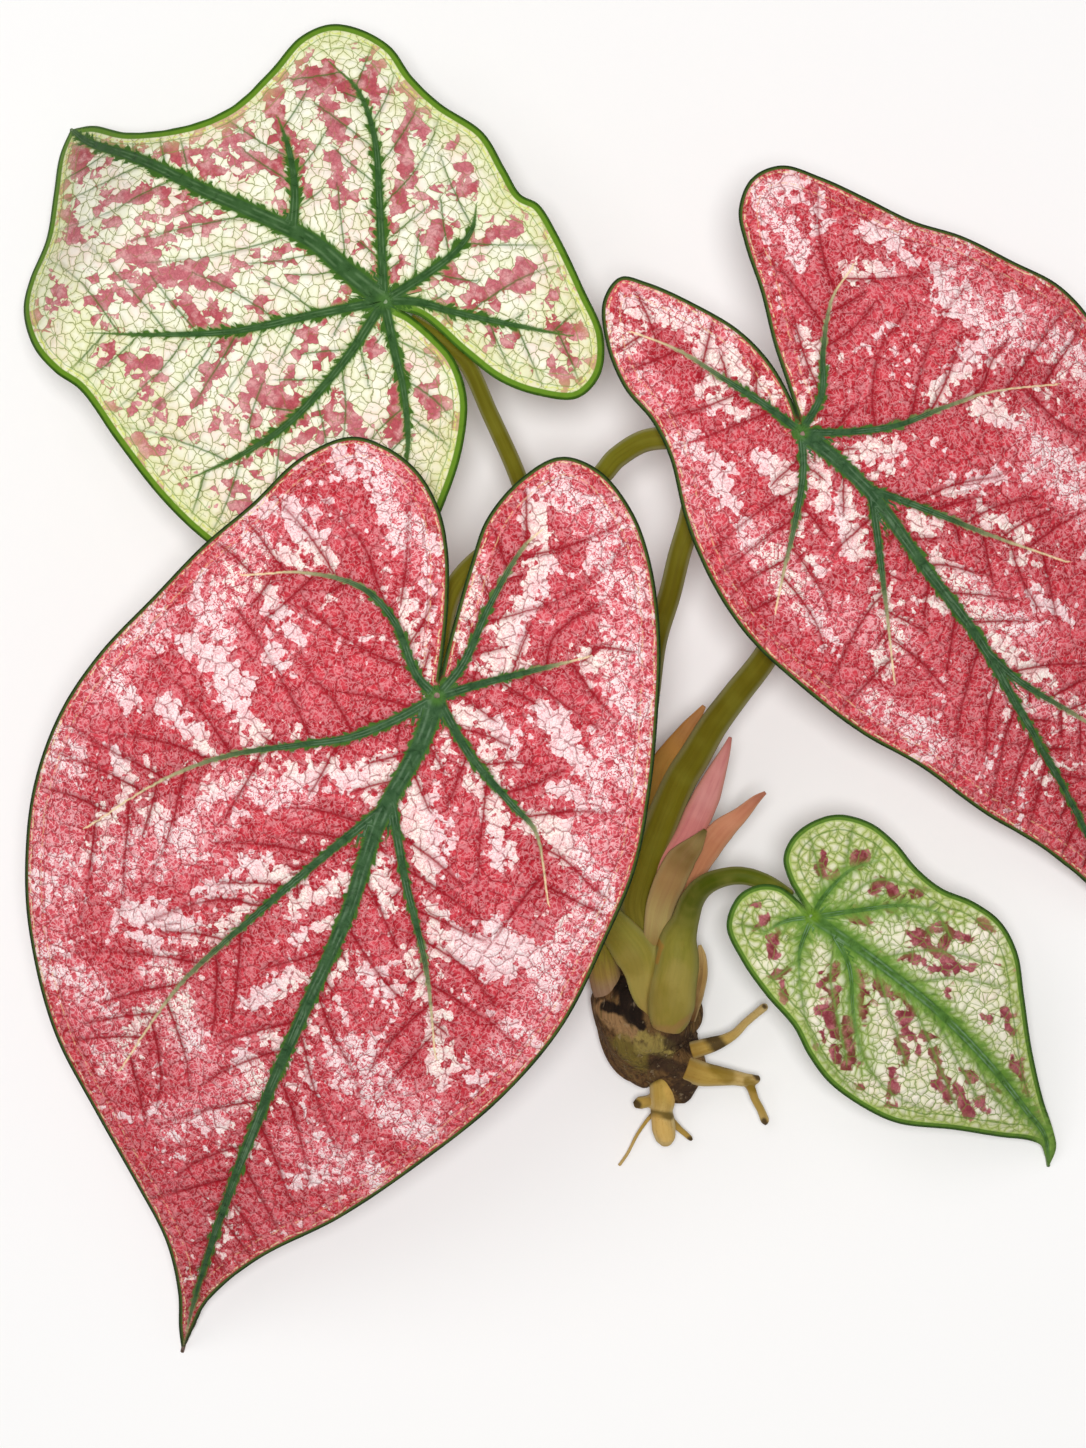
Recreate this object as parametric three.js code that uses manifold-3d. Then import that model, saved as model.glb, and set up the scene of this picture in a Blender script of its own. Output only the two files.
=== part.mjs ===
import * as THREE from 'three';
import { mergeVertices } from 'three/addons/utils/BufferGeometryUtils.js';
import Module from 'manifold-3d';

// A bare-rooted caladium lying on its side on a flat surface: a tuber with its roots and crown,
// four leaf stalks (petioles) and four heart-shaped leaf blades.
// Millimetres, +Z up. The origin is the middle of the flat spot that the tuber rests on.

const wasm = await Module();
wasm.setup();

// ---------- driving sizes ----------

const GAP = 0.3; // clearance between neighbouring pieces
const BLADE_THICKNESS = 0.8;
const BOSS_LENGTH = 7; // stretch of leaf stalk that has grown into the blade
const RIB_TOP = 0.3; // how far a rib's upper side lies above the blade's middle surface
const VALLEY_DEPTH = 0.8; // the blade dips to its main veins
const VALLEY_WIDTH = 5;
const GROUND_SIZE = 800; // the block below the plant's resting surface, which trims what touches it
const GROUND_DEPTH = 50;

// ---------- mesh of the stems: corners round a section, and steps from one route point to the next

const STALK_SIDES = 8;
const RIB_SIDES = 5;
const ROOT_SIDES = 6;
const TUBER_SIDES = 20;
const STALK_STEPS = 2;
const RIB_STEPS = 1;
const FLAT_STEPS = 3;
const BOSS_STEPS = 4;

// ---------- mesh of the blades ----------
// Each half of a blade is a grid of spokes and rings. The first spokes fan out from the hub, where
// the stalk joins, into the basal lobe. The others start along the midrib.

const SPOKES = 26;
const FAN_SPOKES = 10;
const BENT_SPOKES = 5; // spokes that still follow the curve of the slit between the lobes
const RINGS = 6;
const SLIT_RING = 1; // the slit between the lobes ends at this ring of the first spoke

// ---------- leaves ----------
// Each blade is drawn in its own frame: [along, across], from the hub towards the tip and towards
// its own left. A margin runs from the bottom of the slit round the lobe to the tip. lobeAt and
// fanTo are the margin points where the slit's edge ends and where the fan of spokes ends.

const LEAF_A = {
  hub: [-59.8, 165.2, 60],
  heading: 148.6,
  length: 88.5,
  droop: 22,
  bend: 2,
  curl: { from: 58, drop: 38, power: 1.5 },
  lobe: { length: 60, droop: 2 },
  side: { width: 70, droop: 14, lean: 6 },
  wave: { height: 1.6, length: 48 },
  left: {
    lobeAt: 7,
    fanTo: 14,
    margin: [
      [-3.5, 0], [-6.5, -0.2], [-14, 1], [-20, 3], [-26.5, 8.5], [-31, 17], [-34, 28], [-35, 40],
      [-30.5, 52], [-21, 61.5], [-7.5, 66], [7, 65.5], [20.5, 62.5], [35, 57], [48, 51.5], [55, 51],
      [63, 48.5], [70.5, 42.5], [73.5, 36], [75.5, 26], [81, 16], [86.5, 7], [88.5, 0],
    ],
  },
  right: {
    lobeAt: 6,
    fanTo: 15,
    margin: [
      [-3.5, 0], [-9, -1.2], [-21, 0.8], [-31, 1.8], [-40, 0], [-47.5, -4], [-49, -11], [-45, -19],
      [-36, -25.5], [-24.5, -33], [-17.5, -36.5], [-13, -36.3], [-7, -39.5], [1.5, -44], [13, -44.5],
      [21.5, -46.5], [29.5, -50], [38, -50], [44, -47.5], [48, -41.5], [49.5, -31], [52.5, -19.5],
      [60, -10], [71, -4], [82, -2.5], [88.5, 0],
    ],
  },
  midrib: [[0, 0], [11, -1.5], [20, -3], [35, -2], [48, -0.5], [65, 0.5], [80, 1.5], [88.5, 0]],
  veins: [
    [[0, 0], [5.5, -8], [13, -19], [21, -30], [30, -37.5], [39, -40]],
    [[25.5, -3], [30, -11], [36, -18], [42, -23]],
    [[0, 0], [-5, -10.5], [-7.5, -17.5], [-8, -24], [-6, -29]],
    [[0, 0], [-6, -3.5], [-14.5, -6], [-28.5, -11], [-39, -15]],
    [[0, 0], [-8.5, 9], [-13.5, 14], [-20.5, 23.5], [-24.5, 31.5]],
    [[0, 0], [0.5, 15.5], [4, 34], [9.5, 45.5], [16.5, 55.5]],
    [[0, 0], [11.5, 10.5], [24.5, 22.5], [39, 32], [53.5, 40]],
  ],
};

const LEAF_B = {
  hub: [-47.3, 77.7, 95],
  heading: -112.1,
  length: 165,
  droop: 95,
  bend: 1.95,
  lobe: { length: 56, droop: 8 },
  side: { width: 70, droop: 16, lean: 0 },
  wave: { height: 1.6, length: 70 },
  left: {
    lobeAt: 6,
    fanTo: 12,
    margin: [
      [-3.5, -0.8], [-10, -1.8], [-16, -2.6], [-29, -4], [-39, -4.5], [-50, -1], [-57.5, 5],
      [-58, 13.5], [-52.5, 23.5], [-43.5, 31.5], [-29, 39.5], [-14, 45], [1, 49.5], [18, 53],
      [35, 53], [56, 51.5], [76.5, 45], [97.5, 34], [116, 22.5], [134, 8.5], [149, 1.5],
      [158.5, 0.5], [165, 0],
    ],
  },
  right: {
    lobeAt: 6,
    fanTo: 13,
    margin: [
      [-3.5, -0.8], [-12, -3], [-20, -5.5], [-29.5, -9.5], [-37, -14.5], [-43, -22], [-45.5, -31],
      [-44.5, -38.5], [-36.5, -46.5], [-23.5, -52.5], [-11.5, -59], [3, -65], [19, -71.5],
      [34.5, -75], [51.5, -75], [66.5, -71.5], [81.5, -65], [101.5, -51.5], [115.5, -36.5],
      [128, -22.5], [138.5, -12], [150, -5.5], [159, -2.5], [165, 0],
    ],
  },
  midrib: [
    [0, 0], [10, 0.5], [29, -1.5], [51, -0.5], [73, -1.5], [102, -2.5], [128.5, -2.5], [150, -1.5],
    [165, 0],
  ],
  veins: [
    [[0, 0], [8.5, -7], [15, -14], [20, -22.5], [28.5, -37], [39, -48.5], [55, -60.5]],
    [[0, 0], [-2.5, -5.5], [-11.5, -14.5], [-15.5, -23.5], [-14, -36], [-8.5, -48.5]],
    [[0, 0], [-8.5, 2.5], [-22, 3], [-36.5, 5], [-41, 7]],
    [[0, 0], [-6, 7.5], [-14.5, 19], [-20, 26.5]],
    [[0, 0], [9, 11.5], [15.5, 24], [18.5, 30], [32, 38.5]],
    [[26, -1.5], [36.5, -7.5], [56.5, -18], [79.5, -29], [103, -35]],
    [[23.5, -1], [37.5, 7.5], [55, 19.5], [72.5, 28.5]],
  ],
};

const LEAF_C = {
  hub: [31.2, 135.3, 75],
  heading: -53.7,
  length: 140,
  droop: 75,
  bend: 1.8,
  lobe: { length: 55, droop: 4 },
  side: { width: 50, droop: 10, lean: 0 },
  wave: { height: 1.6, length: 60 },
  left: {
    lobeAt: 6,
    fanTo: 14,
    margin: [
      [-2.5, 1.2], [-10, 3.7], [-19, 6.6], [-29.5, 11], [-40, 14.5], [-47, 18], [-51, 24.5],
      [-49.5, 31.5], [-42.5, 37], [-33, 42.5], [-23, 48], [-14, 55], [-2.5, 61], [7, 66],
      [16.5, 68], [28, 68], [44, 63.5], [62.5, 55], [82, 44.5], [101, 32.5], [118, 20],
      [130.5, 9.5], [140, 0],
    ],
  },
  right: {
    lobeAt: 6,
    fanTo: 13,
    margin: [
      [-2.5, 1.2], [-8, 2.7], [-17, 3.5], [-26.5, 2], [-36, -2], [-46, -7.5], [-50.5, -11.5],
      [-48.5, -17.5], [-40.5, -22.5], [-30.5, -25], [-21, -24.5], [-12.5, -26], [-1.5, -30.5],
      [6.5, -33], [18, -35], [30, -35], [44.5, -32], [61, -27], [75, -20.5], [92.5, -14.5],
      [107, -8], [121, -3.5], [132, -1], [140, 0],
    ],
  },
  midrib: [
    [0, 0], [8.5, 2.5], [19.5, 4.5], [40.5, 5], [59.5, 6], [77.5, 5], [103.5, 3.5], [123, 1.5],
    [140, 0],
  ],
  veins: [
    [[0, 0], [-10, -3], [-19, -6.5], [-30.5, -11], [-39.5, -16.5]],
    [[0, 0], [-4, 8.5], [-11.5, 14.5], [-19.5, 23], [-22.5, 31]],
    [[0, 0], [5.5, 7.5], [11, 17.5], [14, 28.5], [17, 38.5], [24.5, 53]],
    [[17.5, 4], [27.5, 11], [42.5, 21], [57.5, 32]],
    [[0, 0], [7, -4.5], [15.5, -13], [22, -20.5], [28, -27]],
    [[20, 4.5], [31.5, -1.5], [41, -6.5], [56, -14.5]],
    [[63.5, 6], [73, 8.5], [87, 15], [99, 20]],
  ],
};

const LEAF_D = {
  hub: [35.4, 28.8, 46],
  heading: -46,
  length: 84,
  droop: 45,
  bend: 1.8,
  lobe: { length: 25, droop: -5 },
  side: { width: 40, droop: 6, lean: 0 },
  wave: { height: 1, length: 40 },
  left: {
    lobeAt: 4,
    fanTo: 8,
    margin: [
      [-1.5, 0.1], [-5.5, 1], [-9.5, 2], [-14, 4.5], [-16, 9], [-15.5, 14.5], [-12.5, 20],
      [-6, 24], [1, 25], [8.5, 24.5], [16, 25.5], [23, 28.5], [31, 30], [39, 28], [47.5, 22.5],
      [58.5, 15.5], [70, 9.5], [77.5, 6.5], [81.5, 4.2], [84, 0],
    ],
  },
  right: {
    lobeAt: 4,
    fanTo: 8,
    margin: [
      [-1.5, 0.1], [-5, 0.3], [-10, -0.5], [-13.5, -3.5], [-15, -8.5], [-12, -15], [-4, -18],
      [5.5, -19.5], [15, -20], [22, -22], [30.5, -23], [41.5, -21], [49, -18], [59.5, -10],
      [69, -3.5], [75, 0.8], [78.5, 2], [81.5, 1], [84, 0],
    ],
  },
  midrib: [[0, 0], [9.5, 2], [21, 4], [39, 6], [56, 6], [69, 5], [77, 4.2], [84, 0]],
  veins: [
    [[0, 0], [-1.5, 5.5], [-1.5, 13.5], [1.5, 20]],
    [[0, 0], [-3.5, -5], [-5, -11]],
    [[0, 0], [6.5, 9], [13, 17], [21.5, 22.5]],
    [[0, 0], [3.5, -7], [9, -12.5]],
    [[5, 1], [13.5, -1.5], [22, -8], [31.5, -14.5]],
  ],
};

const MIDRIB_RADII = [1.7, 0.45]; // at the hub and at the tip
const VEIN_RADII = [1.1, 0.4];

// ---------- leaf stalks ----------
// Points are [x, y, z, radius], from the crown of the tuber to the hub of the blade.

const PETIOLE_A = [
  [-10, 11, 9, 2.8], [-10.5, 20, 8.5, 2.9], [-10.5, 29, 9, 2.8], [-11, 47.5, 12.5, 2.6],
  [-13.5, 68.5, 19, 2.4], [-18.5, 91, 27, 2.2], [-24.5, 109, 34, 2.1], [-30, 126.5, 42, 2],
  [-36.5, 141, 48, 1.9], [-42.5, 153, 53, 1.9], [-51, 159.5, 55.5, 1.8], [-59.8, 165.2, 60, 0.6],
];

const PETIOLE_B = [
  [-5, 13, 12.5, 3], [-5, 22, 13, 3.1], [-4.5, 30.5, 14.5, 3.1], [-4, 42, 19, 3],
  [-3.5, 54.5, 26, 2.9], [-1, 79.5, 39, 2.7], [0.5, 91, 45.5, 2.6], [3.5, 101, 50, 2.5],
  [5.5, 109.5, 53, 2.5], [8, 118.5, 56, 2.5], [9, 127.5, 59, 2.5], [6.5, 134, 60.5, 2.5],
  [-1.5, 134.5, 62, 2.5], [-8.5, 130.5, 64.5, 2.4], [-12.5, 126, 67, 2.3], [-27.5, 116, 75, 2.2],
  [-43.5, 102, 82, 2.2], [-47, 86.5, 87, 2.1], [-47.3, 77.7, 95, 0.6],
];

const PETIOLE_C = [
  [-0.5, 18, 18, 3.3], [-2.5, 25, 20.5, 3.7], [-3.5, 31, 22, 3.9], [-1.5, 39, 25, 4],
  [1.5, 47.5, 28, 4], [6.5, 59.5, 32, 3.8], [9.5, 64.5, 35, 3.6], [13.5, 71.5, 39, 3.3],
  [18.5, 78.5, 43.5, 3.1], [24.5, 86.5, 49, 2.9], [33, 101.5, 57, 2.7], [38, 117, 63, 2.6],
  [37, 128.5, 67, 2.5], [31.2, 135.3, 75, 0.6],
];

const PETIOLE_D = [
  [3.5, 2, 24.3, 3.4], [4, 4.5, 24.8, 4.8], [4.5, 8, 25, 5.6], [5, 13, 25.5, 5.5],
  [5.8, 17.5, 26.5, 5.2], [6, 22.5, 27.5, 4.5], [7.5, 27, 30, 3.2], [9, 32, 34, 2.8],
  [11.5, 35.5, 39, 2.5], [15.5, 37.5, 43, 2.2], [20, 38, 45, 2.05], [25, 36.5, 44.8, 2],
  [30.5, 33, 42.5, 1.9], [35.4, 28.8, 46, 0.6],
];

// ---------- crown, tuber and roots ----------
// Points are [x, y, z, half width]; depth is the thickness as a share of the width.

const LIP_D = [
  [0, 6, 23, 2.3], [-2, 11, 24.5, 3], [-2.5, 15.5, 25.5, 4], [-3.5, 19, 26, 5],
  [-5.5, 22, 26, 4.7], [-8, 25, 25, 4.2], [-11, 28.5, 23.5, 3.5], [-13, 31.5, 22, 2.2],
];
const LIP_DEPTH = 0.4;

const CATAPHYLL = [
  [0.5, 20, 25, 2.4], [1, 25, 27, 2.8], [2, 30.5, 28.5, 3.3], [4, 36, 30.5, 3.6],
  [6.5, 41, 32.3, 3.4], [9.5, 44.5, 33.8, 2.2], [12, 48, 35, 0.5],
];
const CATAPHYLL_DEPTH = 0.4;

const PINK_SPEAR = [
  [2.5, 30, 25.5, 2], [3, 35.5, 27, 2.4], [4.5, 40.5, 28.5, 2.8], [8, 46, 30, 3.1],
  [10.5, 51.5, 31.7, 3.3], [12.5, 56, 33.3, 3.1], [14.5, 61, 35, 2.2], [16.5, 66, 37, 1.1],
  [17.5, 69, 38, 0.4],
];
const SALMON_SPEAR = [
  [7, 26, 23.5, 2], [7.5, 32, 25.5, 2.2], [9.5, 38, 28, 2.7], [12.5, 43.5, 30.5, 3.1],
  [16, 48, 33, 2.8], [20, 51.5, 35, 1.8], [23.5, 55, 36, 1], [25.5, 56.5, 36.5, 0.4],
];
const SPEAR_DEPTH = 0.6;

const SHEATH_C = [
  [-4, 41, 24, 2], [-2, 49, 27, 2.5], [1, 57, 29.5, 2.9], [2.5, 62.5, 31.5, 3],
  [5.5, 67, 33.5, 2.6], [8.5, 71.5, 36.2, 1.8], [11.5, 76, 39.3, 0.5],
];
const SHEATH_DEPTH = 0.5;

const DRY_STRIP = [
  [9, 4, 22, 1.2], [10.5, 10, 24.5, 1.5], [11.5, 15, 25.5, 1.4], [11.5, 19, 26, 1],
  [11, 21.5, 26.5, 0.4],
];
const DRY_STRIP_DEPTH = 0.5;

const STUMP = [[-8.5, 6.5, 14, 3.4], [-10, 12, 17, 3.8], [-11, 17, 18.5, 3.6], [-11.5, 22, 19.5, 2.6]];

const TUBER = [
  [7, -16, 10.5, 1.2], [7, -14.5, 10.5, 3], [6.5, -12, 10.3, 5.3], [6, -9, 10, 7.4],
  [3.4, -5.5, 9.5, 9.4], [0.6, -1.3, 9.4, 10.7], [-0.4, 4, 11.8, 12.1], [-1, 8.5, 13, 12.8],
  [-0.8, 12.5, 13.8, 10.8], [0, 16.5, 15, 6],
];
const TUBER_DEPTH = 0.92;
const TUBER_LUMP = 0.05; // share of the radius
const LUMPS_ROUND = [3, 5]; // two sets of lumps, counted once round the tuber
const LUMPS_ALONG = [9, 4]; // how far each set winds round, in radians, from end to end

const ROOT_1 = [
  [9.5, -3.5, 14.5, 2.1], [14.5, -2, 15, 1.8], [17, -1, 15.8, 1.4], [19.5, 0.5, 16, 1.1],
  [22, 3, 15.5, 0.95], [24.5, 5, 14.3, 0.95], [26.5, 6.5, 13, 1], [27, 7, 12.7, 0.5],
];
const ROOT_2 = [
  [8, -7.5, 13.5, 3.2], [12, -9, 13, 2.9], [15.5, -9.5, 12.6, 2.4], [19.5, -10, 12, 1.8],
  [22, -10.5, 11.2, 1.6], [24.5, -10.5, 10.5, 1.2], [25.5, -10, 10.2, 0.6],
];
const ROOT_2_TIP = [
  [22.5, -10.8, 10.8, 1.3], [23.5, -12.5, 10.4, 1.05], [24.5, -15.2, 9, 0.95], [26, -18, 7, 0.95],
  [27, -20.5, 5.3, 1.05], [27.2, -21.4, 4.7, 0.5],
];
const ROOT_3 = [
  [2.5, -6, 12, 2.6], [2.5, -9, 12.2, 2.8], [3, -13, 11.7, 3.1], [3, -16, 11, 2.8],
  [2.7, -18, 10.7, 2.5], [3, -19.5, 10.4, 2.7], [3.3, -22, 9.9, 2.8], [3.7, -24.5, 9.4, 2.3],
  [3.9, -26, 9.1, 1],
];
const ROOT_3_STUB = [
  [2, -14.5, 11, 1.6], [-0.2, -15.5, 10.6, 1.4], [-2.3, -16, 10.2, 1.5], [-3.6, -16.5, 9.9, 0.8],
];
const ROOT_3_BRANCH = [
  [4.2, -19.5, 9.2, 1.2], [5.2, -20.5, 8.3, 1], [7, -22.3, 7, 0.75], [9.5, -24.6, 5.5, 0.65],
  [10, -25.2, 5.2, 0.35],
];
const ROOT_3_HAIR = [
  [1.6, -18, 8.5, 0.7], [-0.2, -20, 6.5, 0.5], [-2.8, -24, 4.2, 0.45], [-5, -28.5, 2.4, 0.42],
  [-7, -31.5, 1.3, 0.42],
];

// ---------- finishes ----------

const FINISH = {
  redBlade: { color: 0xd6526a, roughness: 0.5, metalness: 0 },
  creamBlade: { color: 0xe3dcc4, roughness: 0.5, metalness: 0 },
  greenBlade: { color: 0xa7b888, roughness: 0.5, metalness: 0 },
  stalk: { color: 0x6b6418, roughness: 0.45, metalness: 0 },
  sheath: { color: 0xa0703c, roughness: 0.6, metalness: 0 },
  cataphyll: { color: 0x96904f, roughness: 0.5, metalness: 0 },
  pinkSpear: { color: 0xbf7d78, roughness: 0.5, metalness: 0 },
  salmonSpear: { color: 0xb9805f, roughness: 0.5, metalness: 0 },
  tuber: { color: 0x5a4632, roughness: 0.85, metalness: 0 },
  root: { color: 0xb59b5f, roughness: 0.7, metalness: 0 },
};

// ---------- solids ----------

/** A closed mesh of [x, y, z] points and [a, b, c] triangles as a solid. */
function solid(points, triangles) {
  return new wasm.Manifold(
    new wasm.Mesh({
      numProp: 3,
      vertProperties: new Float32Array(points.flat()),
      triVerts: new Uint32Array(triangles.flat()),
    }),
  );
}

/** The largest body of a solid, so that no loose scrap of a cut stays. */
function largest(body) {
  const bodies = body.decompose();
  bodies.sort((a, b) => b.volume() - a.volume());
  return bodies[0];
}

/** A named mesh of a solid. */
function piece(name, body, finish) {
  const { vertProperties, triVerts } = body.getMesh();
  const geometry = new THREE.BufferGeometry();
  geometry.setAttribute('position', new THREE.BufferAttribute(vertProperties, 3));
  geometry.setIndex(new THREE.BufferAttribute(triVerts, 1));
  geometry.computeVertexNormals();
  const mesh = new THREE.Mesh(geometry, new THREE.MeshStandardMaterial(finish));
  mesh.name = name;
  return mesh;
}

/** The space below the surface that the plant lies on. */
function ground() {
  const slab = new THREE.BoxGeometry(GROUND_SIZE, GROUND_SIZE, GROUND_DEPTH);
  slab.translate(0, 0, -GROUND_DEPTH / 2);
  slab.deleteAttribute('normal');
  slab.deleteAttribute('uv');
  const { attributes, index } = mergeVertices(slab);
  return new wasm.Manifold(
    new wasm.Mesh({
      numProp: 3,
      vertProperties: attributes.position.array,
      triVerts: new Uint32Array(index.array),
    }),
  );
}

/** The smooth line through a route's [x, y, z, radius] points. */
function routeCurve(route) {
  return new THREE.CatmullRomCurve3(route.map(([x, y, z]) => new THREE.Vector3(x, y, z)));
}

/**
 * A closed round stem along a route of [x, y, z, radius] points.
 * depth squeezes it upright, lump(angle, share) scales its radius, grow makes it larger all round,
 * and from and to are the distances left off at its two ends.
 */
function stem(route, options = {}) {
  const {
    sides = STALK_SIDES, perSpan = STALK_STEPS, depth = 1, lump = () => 1, grow = 0, from = 0, to = 0,
  } = options;
  const curve = routeCurve(route);
  const spans = route.length - 1;
  const length = curve.getLength();
  const first = curve.getUtoTmapping(from / length);
  const last = curve.getUtoTmapping(1 - to / length);
  const steps = Math.max(2, Math.round(spans * perSpan * (last - first)));
  const up = new THREE.Vector3(0, 0, 1);
  const points = [];
  const triangles = [];
  for (let step = 0; step <= steps; step += 1) {
    const share = first + ((last - first) * step) / steps;
    const tangent = curve.getTangent(share);
    const across = new THREE.Vector3().crossVectors(up, tangent).normalize();
    const over = new THREE.Vector3().crossVectors(tangent, across);
    const centre = curve.getPoint(share);
    if (step === 0) centre.addScaledVector(tangent, -grow);
    if (step === steps) centre.addScaledVector(tangent, grow);
    const span = Math.min(spans - 1, Math.floor(share * spans));
    const radius = THREE.MathUtils.lerp(route[span][3], route[span + 1][3], share * spans - span);
    for (let side = 0; side < sides; side += 1) {
      const angle = (2 * Math.PI * side) / sides;
      const reach = radius * lump(angle, share) + grow;
      const lift = radius * depth * lump(angle, share) + grow;
      const point = centre.clone();
      point.addScaledVector(across, reach * Math.cos(angle));
      point.addScaledVector(over, lift * Math.sin(angle));
      points.push(point.toArray());
    }
  }
  const corner = (step, side) => step * sides + (side % sides);
  for (let side = 0; side < sides; side += 1) {
    for (let step = 0; step < steps; step += 1) {
      triangles.push([corner(step, side), corner(step, side + 1), corner(step + 1, side + 1)]);
      triangles.push([corner(step, side), corner(step + 1, side + 1), corner(step + 1, side)]);
    }
  }
  for (let side = 1; side < sides - 1; side += 1) {
    triangles.push([corner(0, 0), corner(0, side + 1), corner(0, side)]);
    triangles.push([corner(steps, 0), corner(steps, side), corner(steps, side + 1)]);
  }
  return solid(points, triangles);
}

// ---------- blades ----------

/** Shortest distance from a point to a line of points, all [along, across]. */
function distanceToLine([x, y], line) {
  let nearest = Infinity;
  for (let i = 1; i < line.length; i += 1) {
    const [ax, ay] = line[i - 1];
    const [bx, by] = line[i];
    const span = (bx - ax) ** 2 + (by - ay) ** 2;
    const share = ((x - ax) * (bx - ax) + (y - ay) * (by - ay)) / span;
    const held = THREE.MathUtils.clamp(share, 0, 1);
    nearest = Math.min(nearest, Math.hypot(x - ax - held * (bx - ax), y - ay - held * (by - ay)));
  }
  return nearest;
}

/** Height of a blade's middle surface: it arches from the hub to the tip and droops to its sides. */
function bladeHeight(leaf, along, across) {
  const toTip = Math.max(0, along) / leaf.length;
  const intoLobe = Math.max(0, -along) / leaf.lobe.length;
  const outward = across / leaf.side.width;
  const ripple = Math.sin((2 * Math.PI * along) / leaf.wave.length + Math.sign(across));
  const veins = [leaf.midrib, ...leaf.veins].map((vein) => distanceToLine([along, across], vein));
  let height = leaf.hub[2] - leaf.droop * toTip ** leaf.bend;
  height -= leaf.lobe.droop * intoLobe ** 2;
  height -= leaf.side.droop * outward ** 2;
  height += leaf.side.lean * outward;
  height += leaf.wave.height * ripple * outward ** 2;
  height += VALLEY_DEPTH * (1 - Math.exp(-Math.min(...veins) / VALLEY_WIDTH));
  if (leaf.curl) {
    const curled = Math.max(0, along - leaf.curl.from) / (leaf.length - leaf.curl.from);
    height -= leaf.curl.drop * curled ** leaf.curl.power;
  }
  return height;
}

/** A point of the blade's own frame in the plant's frame. */
function bladePoint(leaf, [along, across], lift = 0) {
  const heading = THREE.MathUtils.degToRad(leaf.heading);
  return [
    leaf.hub[0] + along * Math.cos(heading) - across * Math.sin(heading),
    leaf.hub[1] + along * Math.sin(heading) + across * Math.cos(heading),
    bladeHeight(leaf, along, across) + lift,
  ];
}

/** A smooth flat curve through [along, across] points. */
function flatCurve(points) {
  return new THREE.CatmullRomCurve3(points.map(([x, y]) => new THREE.Vector3(x, y, 0)));
}

/** Where ring `ring` of spoke `spoke` lies in one half of the blade, as [along, across]. */
function gridPoint(midrib, half, spoke, ring) {
  const ends = half.margin.length - 1;
  const lobeAt = half.lobeAt / ends;
  const fanTo = half.fanTo / ends;
  const pastFan = Math.max(0, spoke - FAN_SPOKES) / (SPOKES - FAN_SPOKES);
  const inFan = Math.min(1, spoke / FAN_SPOKES);
  const marginShare = lobeAt + (fanTo - lobeAt) * inFan + (1 - fanTo) * pastFan;
  const share = ring / RINGS;
  const root = midrib.getPoint(pastFan);
  const point = root.clone().lerp(half.curve.getPoint(marginShare), share);
  if (spoke < BENT_SPOKES) {
    const slitEnd = half.curve.getPoint(0);
    const edge = root.clone().lerp(slitEnd, Math.min(1, ring / SLIT_RING));
    if (ring > SLIT_RING) {
      edge.copy(half.curve.getPoint((lobeAt * (ring - SLIT_RING)) / (RINGS - SLIT_RING)));
    }
    const straight = root.clone().lerp(half.curve.getPoint(lobeAt), share);
    point.addScaledVector(edge.sub(straight), (1 - spoke / BENT_SPOKES) ** 2);
  }
  return [point.x, point.y];
}

/** The blade's thin sheet: top and bottom are split into the same triangles. */
function bladeSheet(leaf) {
  const midrib = flatCurve(leaf.midrib);
  const halves = { left: { ...leaf.left }, right: { ...leaf.right } };
  for (const half of Object.values(halves)) half.curve = flatCurve(half.margin);
  const index = new Map();
  const middle = [];
  const at = (side, spoke, ring) => {
    let key = `${side} ${spoke} ${ring}`;
    if (spoke === SPOKES) key = 'tip';
    else if (ring === 0) key = `midrib ${Math.max(spoke, FAN_SPOKES)}`;
    else if (spoke === 0 && ring <= SLIT_RING) key = `slit ${ring}`;
    if (!index.has(key)) {
      index.set(key, middle.length);
      middle.push(new THREE.Vector3(...bladePoint(leaf, gridPoint(midrib, halves[side], spoke, ring))));
    }
    return index.get(key);
  };

  const top = [];
  const addTop = (a, b, c) => {
    if (a !== b && b !== c && c !== a) top.push([a, b, c]);
  };
  for (let spoke = 0; spoke < SPOKES; spoke += 1) {
    for (let ring = 0; ring < RINGS; ring += 1) {
      for (const side of ['left', 'right']) {
        const near = [at(side, spoke, ring), at(side, spoke + 1, ring)];
        const far = [at(side, spoke, ring + 1), at(side, spoke + 1, ring + 1)];
        if (side === 'left') {
          addTop(near[0], near[1], far[1]);
          addTop(near[0], far[1], far[0]);
        } else {
          addTop(near[0], far[1], near[1]);
          addTop(near[0], far[0], far[1]);
        }
      }
    }
  }

  const rim = [];
  for (let ring = SLIT_RING; ring < RINGS; ring += 1) rim.push(at('right', 0, ring));
  for (let spoke = 0; spoke <= SPOKES; spoke += 1) rim.push(at('right', spoke, RINGS));
  for (let spoke = SPOKES - 1; spoke >= 0; spoke -= 1) rim.push(at('left', spoke, RINGS));
  for (let ring = RINGS - 1; ring > SLIT_RING; ring -= 1) rim.push(at('left', 0, ring));

  const normals = middle.map(() => new THREE.Vector3());
  for (const corners of top) {
    const [a, b, c] = corners.map((corner) => middle[corner]);
    const facing = new THREE.Vector3().crossVectors(b.clone().sub(a), c.clone().sub(a));
    for (const corner of corners) normals[corner].add(facing);
  }
  for (const normal of normals) normal.normalize();
  const count = middle.length;
  const shell = (reach) => middle.map((p, i) => p.clone().addScaledVector(normals[i], reach).toArray());
  const points = [...shell(BLADE_THICKNESS / 2), ...shell(-BLADE_THICKNESS / 2)];
  const triangles = [...top, ...top.map(([a, b, c]) => [a + count, c + count, b + count])];
  rim.forEach((here, i) => {
    const next = rim[(i + 1) % rim.length];
    triangles.push([here, here + count, next + count], [here, next + count, next]);
  });
  return solid(points, triangles);
}

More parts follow.
